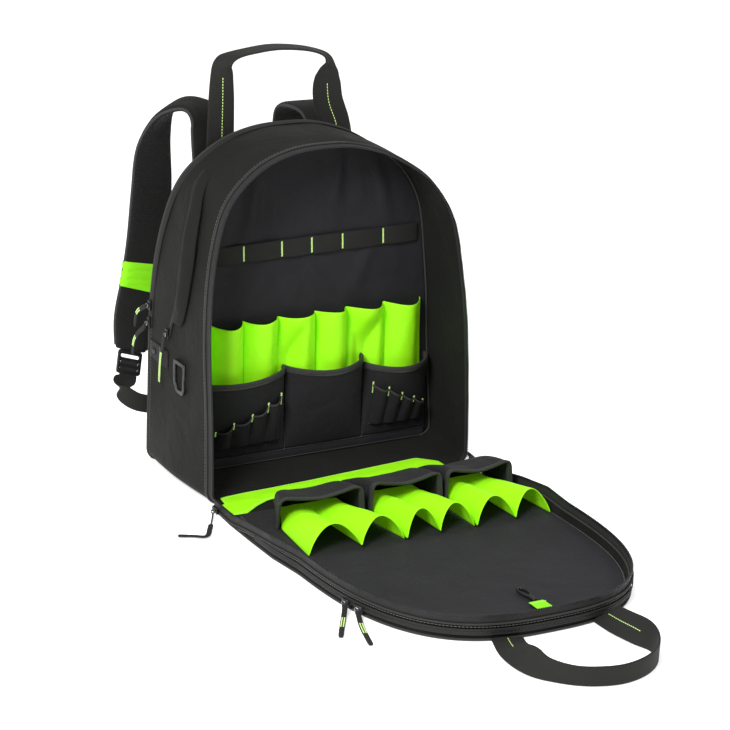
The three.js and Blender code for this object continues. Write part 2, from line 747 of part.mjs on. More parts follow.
function lidPleats({ tacks }) {
  const places = tunnels(tacks.map((_, i) => i), 0, tacks.length - 1, 7);
  const mouth = LID_PLEAT_ROWS[1];
  const at = (u, v) => {
    const { tack, part, full } = places[Math.round(u * (places.length - 1))];
    const row = LID_PLEAT_ROWS[Math.round(v * (LID_PLEAT_ROWS.length - 1))];
    const edges = [tacks[tack], tacks[tack + 1]].map(({ start, mouth: opening, tip }) => (row < mouth
      ? mix(start, opening, row / mouth) : mix(opening, tip, (row - mouth) / (1 - mouth))));
    const y = -DEPTH / 2 - LID_PLEAT_START - LID_PLEAT_LENGTH * row - LID_PLEAT_POINT * (1 - full) * row;
    return V(INSIDE * mix(...edges, part), y, LID_FACE + GAP + LID_PLEAT_RISE * full * row ** 0.8);
  };
  return shellBody(at, V(0, 0, 1), 0, CLOTH, places.length - 1, LID_PLEAT_ROWS.length - 1);
}

// The lid's three pockets: their sides at the sewn edge and at the mouth, as shares of half the inside.
const LID_POCKETS = [
  { name: 'left', sewnFrom: -0.6, sewnTo: -0.2, from: -0.86, to: -0.2 },
  { name: 'middle', sewnFrom: -0.17, sewnTo: 0.4, from: -0.14, to: 0.41 },
  { name: 'right', sewnFrom: 0.44, sewnTo: 0.95, from: 0.45, to: 0.97 },
];

// The section across a lid pocket: side is a share of its width, up a share of its height, sag of its sag.
const LID_POCKET_ROWS = [
  { side: 0, up: 0, sag: 0 },
  { side: 0.01, up: 0.5, sag: 0 },
  { side: 0.03, up: 0.88, sag: 0 },
  { side: 0.1, up: 1, sag: 0 },
  { side: 0.26, up: 1, sag: 0.5 },
  { side: 0.5, up: 1, sag: 1 },
  { side: 0.74, up: 1, sag: 0.5 },
  { side: 0.9, up: 1, sag: 0 },
  { side: 0.97, up: 0.88, sag: 0 },
  { side: 0.99, up: 0.5, sag: 0 },
  { side: 1, up: 0, sag: 0 },
];

// A point of a lid pocket: row of the section, along from the sewn edge to the mouth, and inward.
function lidPocketFace(pocket, row, along, inward) {
  const { side, up, sag } = LID_POCKET_ROWS[row];
  const left = INSIDE * mix(pocket.sewnFrom, pocket.from, along);
  const right = INSIDE * mix(pocket.sewnTo, pocket.to, along);
  const foot = mix(LID_PANEL + GAP, LID_FACE + GAP, THREE.MathUtils.smoothstep(along, 0.05, 0.22));
  const high = (LID_POCKET_RISE - LID_POCKET_SAG * sag) * Math.sin((Math.PI / 2) * along) + 3 * CLOTH;
  const turn = THREE.MathUtils.clamp((side - 0.5) / 0.47, -1, 1);
  const lean = Math.abs(turn) > 0.85 ? Math.sign(turn) : 0;
  const x = mix(left, right, side) - lean * inward;
  const z = foot + high * up - (up > 0.85 ? inward : 0);
  const y = -DEPTH / 2 - LID_POCKET_START - LID_POCKET_LENGTH * along;
  return V(x, y, z);
}

function lidPocketBody(pocket) {
  const rows = LID_POCKET_ROWS.length - 1;
  const end = 1 - BINDING / LID_POCKET_LENGTH;
  const at = (u, v, inward) => lidPocketFace(pocket, Math.round(u * rows), v * end, inward);
  return clothBody((u, v) => at(u, v, 0), (u, v) => at(u, v, CLOTH), rows, 4);
}

function lidBinding(pocket) {
  const rows = LID_POCKET_ROWS.length - 1;
  const start = 1 - (BINDING - GAP) / LID_POCKET_LENGTH;
  const extra = (BINDING_THICK - CLOTH) / 2;
  const at = (u, v, inward) => lidPocketFace(pocket, Math.round(u * rows), mix(start, 1, v), inward);
  return clothBody((u, v) => at(u, v, -extra), (u, v) => at(u, v, CLOTH + extra), rows, 1);
}

// The lime cloth over the hinge. back and front are its two edges, as shares of the hinge length from
// the body's front edge, back into the body and forward onto the lid.
const STRIP_ROWS = [
  { side: -0.965, back: -0.08, front: 0.52 },
  { side: -0.93, back: -0.06, front: 0.54 },
  { side: -0.913, back: 0.19, front: 0.54 },
  { side: -0.86, back: 0.22, front: 0.54 },
  { side: -0.74, back: 0.24, front: 0.33 },
  { side: -0.63, back: 0.25, front: 0.19 },
  { side: -0.5, back: 0.26, front: 0.13 },
  { side: -0.2, back: 0.3, front: 0.13 },
  { side: 0.1, back: 0.36, front: 0.17 },
  { side: 0.4, back: 0.42, front: 0.16 },
  { side: 0.7, back: 0.48, front: 0.17 },
  { side: 0.82, back: 0.2, front: 0.2 },
];

function hingeStrip() {
  const rows = STRIP_ROWS.length - 1;
  const at = (u, v, out) => {
    const row = STRIP_ROWS[Math.round(u * rows)];
    const y = -DEPTH / 2 + HINGE * mix(row.back, -row.front, v);
    const slack = STRIP_LIFT * Math.sin(Math.PI * v) * (1 + Math.sin(u * 17));
    return V(INSIDE * row.side, y, WALL + GAP + out + slack);
  };
  return clothBody((u, v) => at(u, v, CLOTH), (u, v) => at(u, v, 0), rows, 4);
}

// A band of webbing or padding: each row gives its middle, its width, its thickness and the direction
// that its width runs in.
function bandBody(rows) {
  return sweptBody(rows.map((_, i) => bandLoop(rows, i)), false);
}

// The four corners of a band at one of its rows.
function bandLoop(rows, i) {
  const row = rows[i];
  const before = rows[Math.max(i - 1, 0)].at;
  const after = rows[Math.min(i + 1, rows.length - 1)].at;
  const along = after.clone().sub(before).normalize();
  const across = row.across.clone().addScaledVector(along, -row.across.dot(along)).normalize();
  const up = V().crossVectors(along, across);
  const w = row.width / 2;
  const t = row.thick / 2;
  return [[-w, -t], [w, -t], [w, t], [-w, t]].map(([side, rise]) => (
    row.at.clone().addScaledVector(across, side).addScaledVector(up, rise)));
}

// The body's handle from foot to foot: side is a share of half its width, reach of its reach, width of
// the webbing, turn in degrees from flat against the back.
const GRIP_ROWS = [
  { side: -0.95, reach: -0.17, width: 0.95, turn: 0 },
  { side: -0.945, reach: 0.04, width: 0.95, turn: 0 },
  { side: -0.935, reach: 0.42, width: 0.88, turn: 3 },
  { side: -0.93, reach: 0.7, width: 0.74, turn: 14 },
  { side: -0.91, reach: 0.86, width: 0.62, turn: 40 },
  { side: -0.76, reach: 0.945, width: 0.66, turn: 68 },
  { side: -0.44, reach: 0.985, width: 0.72, turn: 85 },
  { side: -0.05, reach: 1, width: 0.75, turn: 90 },
  { side: 0.4, reach: 0.955, width: 0.72, turn: 94 },
  { side: 0.7, reach: 0.88, width: 0.64, turn: 108 },
  { side: 0.83, reach: 0.78, width: 0.58, turn: 138 },
  { side: 0.83, reach: 0.65, width: 0.85, turn: 166 },
  { side: 0.815, reach: 0.5, width: 1.02, turn: 177 },
  { side: 0.85, reach: 0.27, width: 1.04, turn: 180 },
  { side: 0.98, reach: 0.0, width: 1, turn: 180 },
  { side: 0.99, reach: -0.17, width: 0.98, turn: 180 },
];

// The lid's handle in the same columns, with lift, its middle's height as a share of the webbing.
const LID_GRIP_ROWS = [
  { side: -0.68, reach: 0.099, width: 0.95, turn: 0, lift: 0.05 },
  { side: -0.75, reach: 0.22, width: 0.97, turn: 0, lift: 0.05 },
  { side: -0.86, reach: 0.4, width: 0.95, turn: 16, lift: 0.19 },
  { side: -0.93, reach: 0.62, width: 0.82, turn: 45, lift: 0.33 },
  { side: -0.87, reach: 0.78, width: 0.66, turn: 74, lift: 0.33 },
  { side: -0.65, reach: 0.93, width: 0.6, turn: 88, lift: 0.31 },
  { side: -0.35, reach: 1.02, width: 0.6, turn: 90, lift: 0.31 },
  { side: 0, reach: 1.05, width: 0.6, turn: 90, lift: 0.31 },
  { side: 0.4, reach: 0.99, width: 0.6, turn: 90, lift: 0.31 },
  { side: 0.73, reach: 0.85, width: 0.6, turn: 88, lift: 0.31 },
  { side: 0.87, reach: 0.68, width: 0.68, turn: 70, lift: 0.34 },
  { side: 0.87, reach: 0.5, width: 0.86, turn: 42, lift: 0.32 },
  { side: 0.86, reach: 0.3, width: 0.96, turn: 26, lift: 0.25 },
  { side: 0.87, reach: 0.0945, width: 0.98, turn: 16, lift: 0.18 },
];

// place turns a row into its middle. The webbing's width runs along sideways, turned towards standing.
function gripBody(rows, place, sideways, standing) {
  return bandBody(rows.map((row) => {
    const turn = THREE.MathUtils.degToRad(row.turn);
    const across = sideways.clone().multiplyScalar(Math.cos(turn));
    across.addScaledVector(standing, Math.sin(turn));
    return { at: place(row), width: GRIP_WEBBING * row.width, thick: GRIP_THICK, across };
  }));
}

// How far the back panel is crowned at a place: its rings are shares of the way out to its edge.
function backCrown(x, z) {
  const middle = OUTLINE.reduce((sum, spot) => sum.add(new THREE.Vector2(spot.x, spot.z)), new THREE.Vector2());
  middle.divideScalar(OUTLINE.length);
  const way = new THREE.Vector2(x, z).sub(middle);
  let ring = 0;
  OUTLINE.forEach((spot, i) => {
    const next = OUTLINE[(i + 1) % OUTLINE.length];
    const one = new THREE.Vector2(spot.x, spot.z).sub(middle);
    const edge = new THREE.Vector2(next.x, next.z).sub(middle).sub(one);
    const outward = new THREE.Vector2(edge.y, -edge.x);
    ring = Math.max(ring, way.dot(outward) / one.dot(outward));
  });
  return BACK_CROWN * (1 - Math.min(ring, 1) ** 2);
}

// A place a distance behind the back panel, where a handle's or a strap's foot is sewn.
function behindBack(x, z, off) {
  return V(x, rearAt(z) + backCrown(x, z) + GAP + off, z);
}

function topHandle() {
  const base = HEIGHT - 12;
  const crown = backCrown(GRIP_HALF * 0.7, base - GRIP_SEWN);
  const back = rearAt(base) + crown + GAP + GRIP_THICK / 2;
  const place = ({ side, reach }) => V(side * GRIP_HALF, back, base + reach * GRIP_REACH);
  return gripBody(GRIP_ROWS, place, V(1, 0, 0), V(0, -1, 0));
}

function lidHandle() {
  const end = LID_BASE - HEIGHT + GRIP_SEWN;
  const place = ({ side, reach, lift }) => (
    V(side * GRIP_HALF, end - reach * LID_GRIP_REACH, GAP + Math.max(lift * GRIP_WEBBING, GRIP_THICK / 2)));
  return gripBody(LID_GRIP_ROWS, place, V(1, 0, 0), V(0, 0, 1));
}

// The shoulder straps' middle lines: out is a share of half the width, back of the bow, up of the
// height; turn in degrees swings the width from sideways towards the back, wide is a share.
const STRAP_LEFT_ROWS = [
  { out: 0.47, back: 0.004, up: 0.8, turn: 0, wide: 0.9 },
  { out: 0.48, back: 0.075, up: 0.935, turn: 4, wide: 0.95 },
  { out: 0.5, back: 0.2, up: 1.02, turn: 20, wide: 1 },
  { out: 0.6, back: 0.4, up: 1.062, turn: 48, wide: 1 },
  { out: 0.73, back: 0.64, up: 1.03, turn: 42, wide: 1 },
  { out: 0.775, back: 0.84, up: 0.93, turn: 22, wide: 1 },
  { out: 0.76, back: 0.97, up: 0.78, turn: 8, wide: 1 },
  { out: 0.775, back: 1, up: 0.62, turn: 2, wide: 1 },
  { out: 0.838, back: 0.92, up: 0.485, turn: 0, wide: 0.98 },
  { out: 0.93, back: 0.74, up: 0.385, turn: 0, wide: 0.92 },
  { out: 1, back: 0.53, up: 0.305, turn: 0, wide: 0.7 },
];
const STRAP_RIGHT_ROWS = [
  { out: 0.46, back: 0.004, up: 0.8, turn: 0, wide: 0.9 },
  { out: 0.45, back: 0.075, up: 0.935, turn: 0, wide: 0.95 },
  { out: 0.42, back: 0.27, up: 1, turn: 4, wide: 1 },
  { out: 0.38, back: 0.6, up: 1.01, turn: 8, wide: 1 },
  { out: 0.37, back: 0.95, up: 0.985, turn: 8, wide: 1 },
  { out: 0.41, back: 1.15, up: 0.9, turn: 6, wide: 1 },
  { out: 0.5, back: 1.2, up: 0.78, turn: 4, wide: 1 },
  { out: 0.62, back: 1.14, up: 0.62, turn: 2, wide: 1 },
  { out: 0.76, back: 0.98, up: 0.485, turn: 0, wide: 0.98 },
  { out: 0.91, back: 0.76, up: 0.385, turn: 0, wide: 0.92 },
  { out: 1, back: 0.53, up: 0.305, turn: 0, wide: 0.7 },
];

// The webbing below a strap, down to where it is sewn at the bottom of the back.
const TAIL_ROWS = [
  { out: 1.15, back: 0.24, up: 0.225 },
  { out: 1.13, back: 0.13, up: 0.2 },
  { out: 1.05, back: 0.05, up: 0.175 },
  { out: 0.93, back: 0.01, up: 0.16 },
  { out: 0.84, back: 0.01, up: 0.15 },
];

function strapPoint(row, side, off) {
  const z = row.up * HEIGHT;
  return behindBack((side * row.out * WIDTH) / 2, z, off + row.back * STRAP_BOW);
}

const STRAP_STEPS = 30;
const BAND_STEP = 23;          // the step of a strap that its lime band sits on

// The strap's rows from its foot at the back to its lower end.
function strapFrames(rows, side) {
  const middle = new THREE.CatmullRomCurve3(rows.map((row) => strapPoint(row, side, STRAP_THICK / 2)));
  const frames = [];
  for (let i = 0; i <= STRAP_STEPS; i += 1) {
    const share = i / STRAP_STEPS;
    const turn = THREE.MathUtils.degToRad(column(rows, 'turn', share));
    frames.push({
      at: middle.getPoint(share),
      across: V(Math.cos(turn), -side * Math.sin(turn), 0),
      width: STRAP_WIDTH * column(rows, 'wide', share),
      thick: STRAP_THICK,
    });
  }
  return frames;
}

// A closed sleeve round a step of a strap.
function strapBand(frames) {
  const corners = [BAND_STEP, BAND_STEP + 1].map((step) => [0, BAND_THICK].map((more) => {
    const room = 2 * (GAP + more);
    const wider = frames.map((frame) => (
      { ...frame, width: frame.width + room, thick: frame.thick + room }));
    return bandLoop(wider, step);
  }));
  const loops = [0, 1, 2, 3].map((corner) => [
    corners[0][0][corner], corners[1][0][corner], corners[1][1][corner], corners[0][1][corner],
  ]);
  return sweptBody(loops, true);
}

function shoulderStrap(side, rows) {
  const name = side < 0 ? 'left' : 'right';
  const frames = strapFrames(rows, side);
  add(`strap_${name}`, bandBody(frames), black);
  add(`strap_band_${name}`, strapBand(frames), lime);
  const end = frames[frames.length - 1];
  const along = end.at.clone().sub(frames[frames.length - 2].at).normalize();
  const onward = (distance) => end.at.clone().addScaledVector(along, distance);
  const lock = [GAP, GAP + LOCK_LENGTH].map((distance) => ({
    at: onward(distance), width: WEBBING + 2 * WEBBING_THICK, thick: LOCK_THICK, across: end.across,
  }));
  add(`ladder_lock_${name}`, bandBody(lock), plastic);
  const tail = TAIL_ROWS.map((row) => strapPoint(row, side, WEBBING_THICK / 2 + FACET_SLACK));
  const curve = new THREE.CatmullRomCurve3([onward(LOCK_LENGTH + TAIL_LEAD), ...tail]);
  const band = { width: WEBBING, thick: WEBBING_THICK };
  const webbingRows = [{ ...band, at: onward(LOCK_LENGTH + 2 * GAP), across: end.across }];
  for (let i = 0; i <= TAIL_STEPS; i += 1) {
    const share = i / TAIL_STEPS;
    const turned = THREE.MathUtils.smoothstep(share, 0, 0.35);
    webbingRows.push({
      ...band, at: curve.getPoint(share), across: end.across.clone().lerp(V(0, 0, side), turned),
    });
  }
  add(`strap_webbing_${name}`, bandBody(webbingRows), webbing);
}

// The side pocket's zip line on the left wall, at even steps from its lower end to its upper one: back
// is a share of the depth.
const SIDE_ZIP_ROWS = [
  { back: 0.102 },
  { back: 0.023 },
  { back: -0.014 },
  { back: -0.028 },
  { back: 0.047 },
  { back: 0.228 },
];

// Heights along the side zip that also meet each bend of the wall.
function sideHeights(from, steps) {
  const heights = OUTLINE.filter((spot) => spot.x < 0 && spot.z > from && spot.z < SIDE_ZIP_TO)
    .map((spot) => spot.z);
  for (let i = 0; i <= steps; i += 1) {
    const z = mix(from, SIDE_ZIP_TO, i / steps);
    if (heights.every((other) => Math.abs(other - z) > 2)) heights.push(z);
  }
  return heights.sort((a, b) => a - b);
}

const sideShare = (z) => (z - SIDE_ZIP_FROM) / (SIDE_ZIP_TO - SIDE_ZIP_FROM);
const sideZipBack = (z) => DEPTH * column(SIDE_ZIP_ROWS, 'back', sideShare(z));

function sideZip() {
  const loops = sideHeights(SIDE_ZIP_FROM, 14).map((z) => {
    const y = sideZipBack(z);
    return [[-0.5, 0], [0.5, 0], [0.5, 0.6], [-0.5, 0.6]].map(([across, up]) => (
      skin(leftSpot(z), y + across * FLAT_ZIP, GAP + up * FLAT_ZIP_THICK)));
  });
  return sweptBody(loops, false);
}

// The padded edge that hoods the side zip, in front of it.
function sideFlap() {
  const heights = sideHeights(mix(SIDE_ZIP_FROM, SIDE_ZIP_TO, 0.12), 12);
  const at = (u, v, out) => {
    const z = heights[Math.round(v * (heights.length - 1))];
    const edge = sideZipBack(z) - FLAT_ZIP / 2 - GAP - FACET_SLACK;
    const puff = FLAP_PUFF * Math.sin(Math.PI * (0.12 + 0.88 * u)) * Math.sin(Math.PI * (0.08 + 0.87 * v));
    return skin(leftSpot(z), edge - FLAP_WIDTH * u, GAP + Math.max(puff, 0) * Math.sign(out) + out);
  };
  const steps = heights.length - 1;
  return clothBody((u, v) => at(u, v, FLAP_CLOTH), (u, v) => at(u, v, 0), 5, steps);
}

function sideTab() {
  const loops = [0, 0.25, 0.5, 0.75, 1].map((share) => {
    const y = TAB_BACK - TAB_LENGTH * share;
    const half = WEBBING / 2;
    return [[-half, 0], [half, 0], [half, 1], [-half, 1]].map(([up, out]) => (
      skin(leftSpot(TAB_HEIGHT + up), y, GAP + out * WEBBING_THICK)));
  });
  return sweptBody(loops, false);
}

function sideRivet() {
  const head = new THREE.CylinderGeometry(RIVET / 2 - 1, RIVET / 2, RIVET_THICK, 12);
  head.rotateZ(Math.PI / 2);
  const seat = skin(leftSpot(TAB_HEIGHT), TAB_BACK - RIVET_INSET, 2 * GAP + WEBBING_THICK + RIVET_THICK / 2);
  head.translate(seat.x, seat.y, seat.z);
  return head;
}

// An oblong ring that hangs before the side tab, a little narrower below.
function sideRing() {
  const w = RING_WIDE / 2;
  const h = RING_LONG / 2;
  const outer = [[-w, h], [-w, -h * 0.5], [-w * 0.45, -h], [w * 0.6, -h], [w * 0.8, -h * 0.8], [w, h]];
  const shape = new THREE.Shape(outer.map(([x, y]) => new THREE.Vector2(x, y)));
  const inside = outer.map(([x, y]) => new THREE.Vector2(x * (1 - RING_BAR / w), y * (1 - RING_BAR / h)));
  shape.holes.push(new THREE.Path(inside));
  const ring = new THREE.ExtrudeGeometry(shape, { depth: RING_BAR / 2, bevelEnabled: false });
  const turn = new THREE.Matrix4().makeBasis(V(0, -1, 0), V(0, 0, 1), V(-1, 0, 0));
  const seat = skin(leftSpot(RING_HEIGHT - RING_LONG / 2), RING_FRONT, GAP + FACET_SLACK);
  seat.z = RING_HEIGHT;
  return ring.applyMatrix4(turn.setPosition(seat));
}

// The lid's outline beside a distance back: side is -1 for its left wall and 1 for its right one.
function lidSpot(side, y) {
  const half = (LID_PATH.length - 1) / 2;
  const wall = side < 0 ? LID_PATH.slice(0, half + 1) : LID_PATH.slice(half).reverse();
  const i = Math.max(wall.findIndex((spot) => spot.y <= y), 1);
  const part = (y - wall[i - 1].y) / (wall[i].y - wall[i - 1].y);
  const read = (name) => mix(wall[i - 1][name], wall[i][name], part);
  return { x: read('x'), y, nx: read('nx'), ny: read('ny') };
}

// Where a slider sits on its zip: its middle, and its turn about the upright.
const SEATS = {
  front: ({ side, along, rise }) => onLid(side, along, rise, 1 + 2 * GAP),
  lid: ({ side, along, rise }) => onLid(side, along, rise, 1.3 + 2 * GAP + FLAT_ZIP_THICK),
  rear: ({ rise }) => onLeftWall(rise, rearZipBack(rise)),
  side: ({ rise }) => onLeftWall(rise, sideZipBack(rise)),
};

function onLid(side, along, rise, off) {
  const spot = lidSpot(side, LID_START - along * (HINGE + HEIGHT));
  const middle = lidWall(spot, -off - SLIDER_THICK / 2, 0, rise);
  return { middle, turn: Math.atan2(spot.ny * side, spot.nx * side) };
}

function onLeftWall(rise, back) {
  const off = 2 * GAP + FLAT_ZIP_THICK + SLIDER_THICK / 2;
  return { middle: skin(leftSpot(rise), back, off), turn: 0 };
}

// The pulls. rise is the slider's height, and along its place on the lid as a share of the lid's length.
// The places that the cord runs through are shares of the pulls' reach from the slider: out of the wall,
// back, and up, which on the lid is the height above the ground.
const PULLS = [
  {
    name: 'main_pull_left', zip: 'front', side: -1, along: 0.034, rise: 6,
    cord: [
      { out: 0.13, back: -0.18, up: 0.04 },
      { out: 0.31, back: -0.48, up: 0.024 },
      { out: 0.47, back: -0.71, up: 0.024 },
      { out: 0.63, back: -0.63, up: 0.024 },
      { out: 0.8, back: -0.54, up: 0.024 },
    ],
  },
  {
    name: 'main_pull_right', zip: 'front', side: 1, along: 0.016, rise: 6,
    cord: [
      { out: 0.06, back: 0.12, up: 0.036 },
      { out: 0.11, back: 0.28, up: 0.024 },
      { out: 0.13, back: 0.48, up: 0.024 },
      { out: 0.12, back: 0.68, up: 0.024 },
    ],
  },
  {
    name: 'lid_pull_left', zip: 'lid', side: -1, along: 0.692, rise: 12.5,
    cord: [
      { out: 0.054, back: -0.08, up: 0.09 },
      { out: 0.134, back: -0.21, up: 0.045 },
      { out: 0.234, back: -0.37, up: 0.026 },
      { out: 0.344, back: -0.55, up: 0.024 },
      { out: 0.444, back: -0.72, up: 0.024 },
    ],
  },
  {
    name: 'lid_pull_right', zip: 'lid', side: -1, along: 0.738, rise: 12.5,
    cord: [
      { out: 0.048, back: -0.09, up: 0.09 },
      { out: 0.088, back: -0.22, up: 0.045 },
      { out: 0.148, back: -0.41, up: 0.026 },
      { out: 0.208, back: -0.62, up: 0.024 },
      { out: 0.268, back: -0.83, up: 0.024 },
    ],
  },
  {
    name: 'rear_pull_upper', zip: 'rear', side: -1, rise: REAR_ZIP_END + LOW_SLIDER + SLIDERS_APART,
    cord: [
      { out: 0.048, back: 0.12, up: -0.06 },
      { out: 0.068, back: 0.23, up: -0.14 },
      { out: 0.078, back: 0.29, up: -0.25 },
      { out: 0.078, back: 0.31, up: -0.38 },
    ],
  },
  {
    name: 'rear_pull_lower', zip: 'rear', side: -1, rise: REAR_ZIP_END + LOW_SLIDER,
    cord: [
      { out: 0.05, back: 0.075, up: -0.1 },
      { out: 0.07, back: 0.195, up: -0.2 },
      { out: 0.08, back: 0.285, up: -0.32 },
      { out: 0.08, back: 0.335, up: -0.44 },
      { out: 0.08, back: 0.355, up: -0.56 },
    ],
  },
  {
    name: 'side_pull', zip: 'side', side: -1, rise: SIDE_ZIP_FROM + 5,
    cord: [
      { out: 0.04, back: 0.04, up: -0.15 },
      { out: 0.05, back: 0.08, up: -0.35 },
      { out: 0.05, back: 0.11, up: -0.57 },
      { out: 0.045, back: 0.13, up: -0.74 },
    ],
  },
];

function pull(spec) {
  const { middle, turn } = SEATS[spec.zip](spec);
  const lying = spec.zip === 'front' || spec.zip === 'lid';
  const slider = lying
    ? new THREE.BoxGeometry(SLIDER_THICK, SLIDER_LONG, SLIDER_WIDE)
    : new THREE.BoxGeometry(SLIDER_THICK, SLIDER_WIDE, SLIDER_LONG);
  slider.rotateZ(turn);
  slider.translate(...middle);
  const places = spec.cord.map(({ out, back, up }) => V(
    middle.x + spec.side * out * PULL_REACH,
    middle.y + back * PULL_REACH,
    (lying ? 0 : middle.z) + up * PULL_REACH,
  ));
  const rows = [middle, ...places].map((at, i) => {
    const wide = i < 3 ? CORD : PULL_WIDE;
    return {
      at,
      width: lying ? PULL_THICK : wide,
      thick: lying ? wide : PULL_THICK,
      across: lying ? V(0, 0, 1) : V(0, 1, 0),
    };
  });
  return join(slider, bandBody(rows));
}

const KEY_START = LID_BASE - HEIGHT + KEY_TAB_FROM;

function keyHook() {
  const loop = new THREE.Shape();
  loop.absellipse(0, 0, HOOK_WIDE / 2, HOOK_LONG / 3, 0, Math.PI * 2);
  const hole = new THREE.Path();
  hole.absellipse(0, 0, HOOK_WIDE / 2 - HOOK_BAR / 1.6, HOOK_LONG / 3 - HOOK_BAR, 0, Math.PI * 2);
  loop.holes.push(hole);
  const options = { depth: HOOK_BAR, bevelEnabled: false, curveSegments: 6 };
  const ring = new THREE.ExtrudeGeometry(loop, options);
  ring.translate(0, HOOK_LONG * 0.62, 0);
  const barrel = new THREE.BoxGeometry(HOOK_WIDE * 0.55, HOOK_LONG * 0.34, HOOK_BAR * 1.2);
  barrel.translate(0, HOOK_LONG * 0.17, HOOK_BAR * 0.6);
  const hook = join(ring, barrel);
  hook.translate(KEY_X, KEY_START + KEY_TAB_LONG, LID_FACE + GAP);
  return hook;
}

function keyTab() {
  const tab = new THREE.BoxGeometry(KEY_TAB_WIDE, KEY_TAB_LONG - GAP, WEBBING_THICK);
  tab.translate(KEY_X, KEY_START + KEY_TAB_LONG / 2, LID_FACE + GAP + WEBBING_THICK / 2);
  return tab;
}

add('body_gusset', bodyGusset(), black);
add('back_panel', backPanel(), black);
add('divider', dividerPanel(), inner);
add('main_zip_body', mainZipBody(), zip);
add('rear_zip', rearZip(), zip);
add('loop_strip', loopStrip(), webbing);
for (const group of PLEAT_GROUPS) add(group.name, pleats(group), lime);
for (const pocket of POCKETS) {
  add(`pocket_${pocket.name}`, pocketBody(pocket), inner);
  add(`binding_${pocket.name}`, pocketBinding(pocket), grey);
}
add('tool_slots_left', toolSlots(POCKETS[0], SLOTS_LEFT), inner);
add('tool_slots_right', toolSlots(POCKETS[2], SLOTS_RIGHT), inner);
add('hem_band', hemBand(), inner);
add('hinge_strip', hingeStrip(), lime);
add('lid_bottom_gusset', lidBottomGusset(), black);
add('lid_panel', lidPanel(), black);
add('lid_gusset', lidGusset(), black);
add('main_zip_lid', mainZipLid(), zip);
add('lid_pocket_zip', lidPocketZip(), zip);
add('lid_organizer', lidOrganizer(), inner);
for (const group of LID_PLEAT_GROUPS) add(group.name, lidPleats(group), lime);
for (const pocket of LID_POCKETS) {
  add(`lid_pocket_${pocket.name}`, lidPocketBody(pocket), inner);
  add(`lid_binding_${pocket.name}`, lidBinding(pocket), grey);
}
add('key_tab', keyTab(), lime);
add('key_hook', keyHook(), plastic);
add('top_handle', topHandle(), webbing);
add('lid_handle', lidHandle(), webbing);
shoulderStrap(-1, STRAP_LEFT_ROWS);
shoulderStrap(1, STRAP_RIGHT_ROWS);
add('side_zip', sideZip(), zip);
add('side_pocket_flap', sideFlap(), black);
add('side_tab', sideTab(), webbing);
add('side_rivet', sideRivet(), metal);
add('side_ring', sideRing(), metal);
for (const spec of PULLS) add(spec.name, pull(spec), plastic);

export default bag;
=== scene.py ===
"""Looks of the tool backpack that stands open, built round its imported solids.

Lengths are millimetres, as in the part's source, and become metres where a mesh is made.
x runs to the right, y to the back and z up, from the centre of the body's base.
"""

import math
from collections import namedtuple

import bmesh
import bpy
from mathutils import Matrix, Vector, noise

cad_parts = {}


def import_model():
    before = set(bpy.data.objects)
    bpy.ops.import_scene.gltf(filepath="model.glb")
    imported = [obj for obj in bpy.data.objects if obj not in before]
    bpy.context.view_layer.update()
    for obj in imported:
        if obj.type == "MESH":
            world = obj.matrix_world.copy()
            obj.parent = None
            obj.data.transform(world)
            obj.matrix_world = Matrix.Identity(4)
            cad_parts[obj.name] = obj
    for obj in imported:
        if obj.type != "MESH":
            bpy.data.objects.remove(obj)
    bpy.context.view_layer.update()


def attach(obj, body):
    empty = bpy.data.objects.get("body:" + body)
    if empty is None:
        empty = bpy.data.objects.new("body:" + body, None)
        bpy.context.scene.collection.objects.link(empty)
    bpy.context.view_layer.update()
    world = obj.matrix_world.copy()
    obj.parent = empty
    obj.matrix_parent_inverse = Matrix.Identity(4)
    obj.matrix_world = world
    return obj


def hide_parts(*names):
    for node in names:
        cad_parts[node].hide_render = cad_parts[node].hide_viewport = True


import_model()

MM = 0.001
FORWARD = Vector((0, -1, 0))
UP = Vector((0, 0, 1))

# The body
WIDTH = 394
HEIGHT = 460
DEPTH = 215
SHOULDER = 166
ARCH_POWER = 2.8
CORNER = 18
FRONT_LEAN = 58
REAR_LEAN = 7
WALL = 3
SIDE_BULGE = 4
FLOOR_BULGE = 9
SETTLE = 7
BACK_PAD = 14
BACK_CROWN = 5
BODY_MIDDLE = 180
REAR_CORD = 2.3
FRONT_CORD = 1.5
GAP = 0.3

# Zips
ZIP_TAPE = 12
ZIP_CLOTH = 1.2
ZIP_TEETH = 3.4
ZIP_CORNER = 6.5               # the zip's ends, in spots of the outline from the middle of the floor
REAR_ZIP_BACK = 26
REAR_ZIP_END = 196
FLAT_ZIP = 9

# The divider and what is sewn to it
DIVIDER = 2.5
DIVIDER_Y = 13
DIVIDER_LEAN = 25
WEBBING = 26
WEBBING_THICK = 1.8
LOOP_HEIGHT = 303
LOOP_PUFF = 3
LOOP_TACK_HALF = 10.5
CLOTH = 1.6
PLEAT_TOP = 210
PLEAT_FOOT = 26
PLEAT_DEPTH = 30
PINCH = 26
POCKET_TOP = 140
POCKET_DEPTH = 42
POCKET_SAG = 3
HEM = 18
HEM_FOOT = 4.2
BINDING = 9
BINDING_THICK = 3.2
SLOT_FOOT = 37
SLOT_DEPTH = 3.4
SLOT_PUFF = 7
SLOT_CLOTH = 1.2

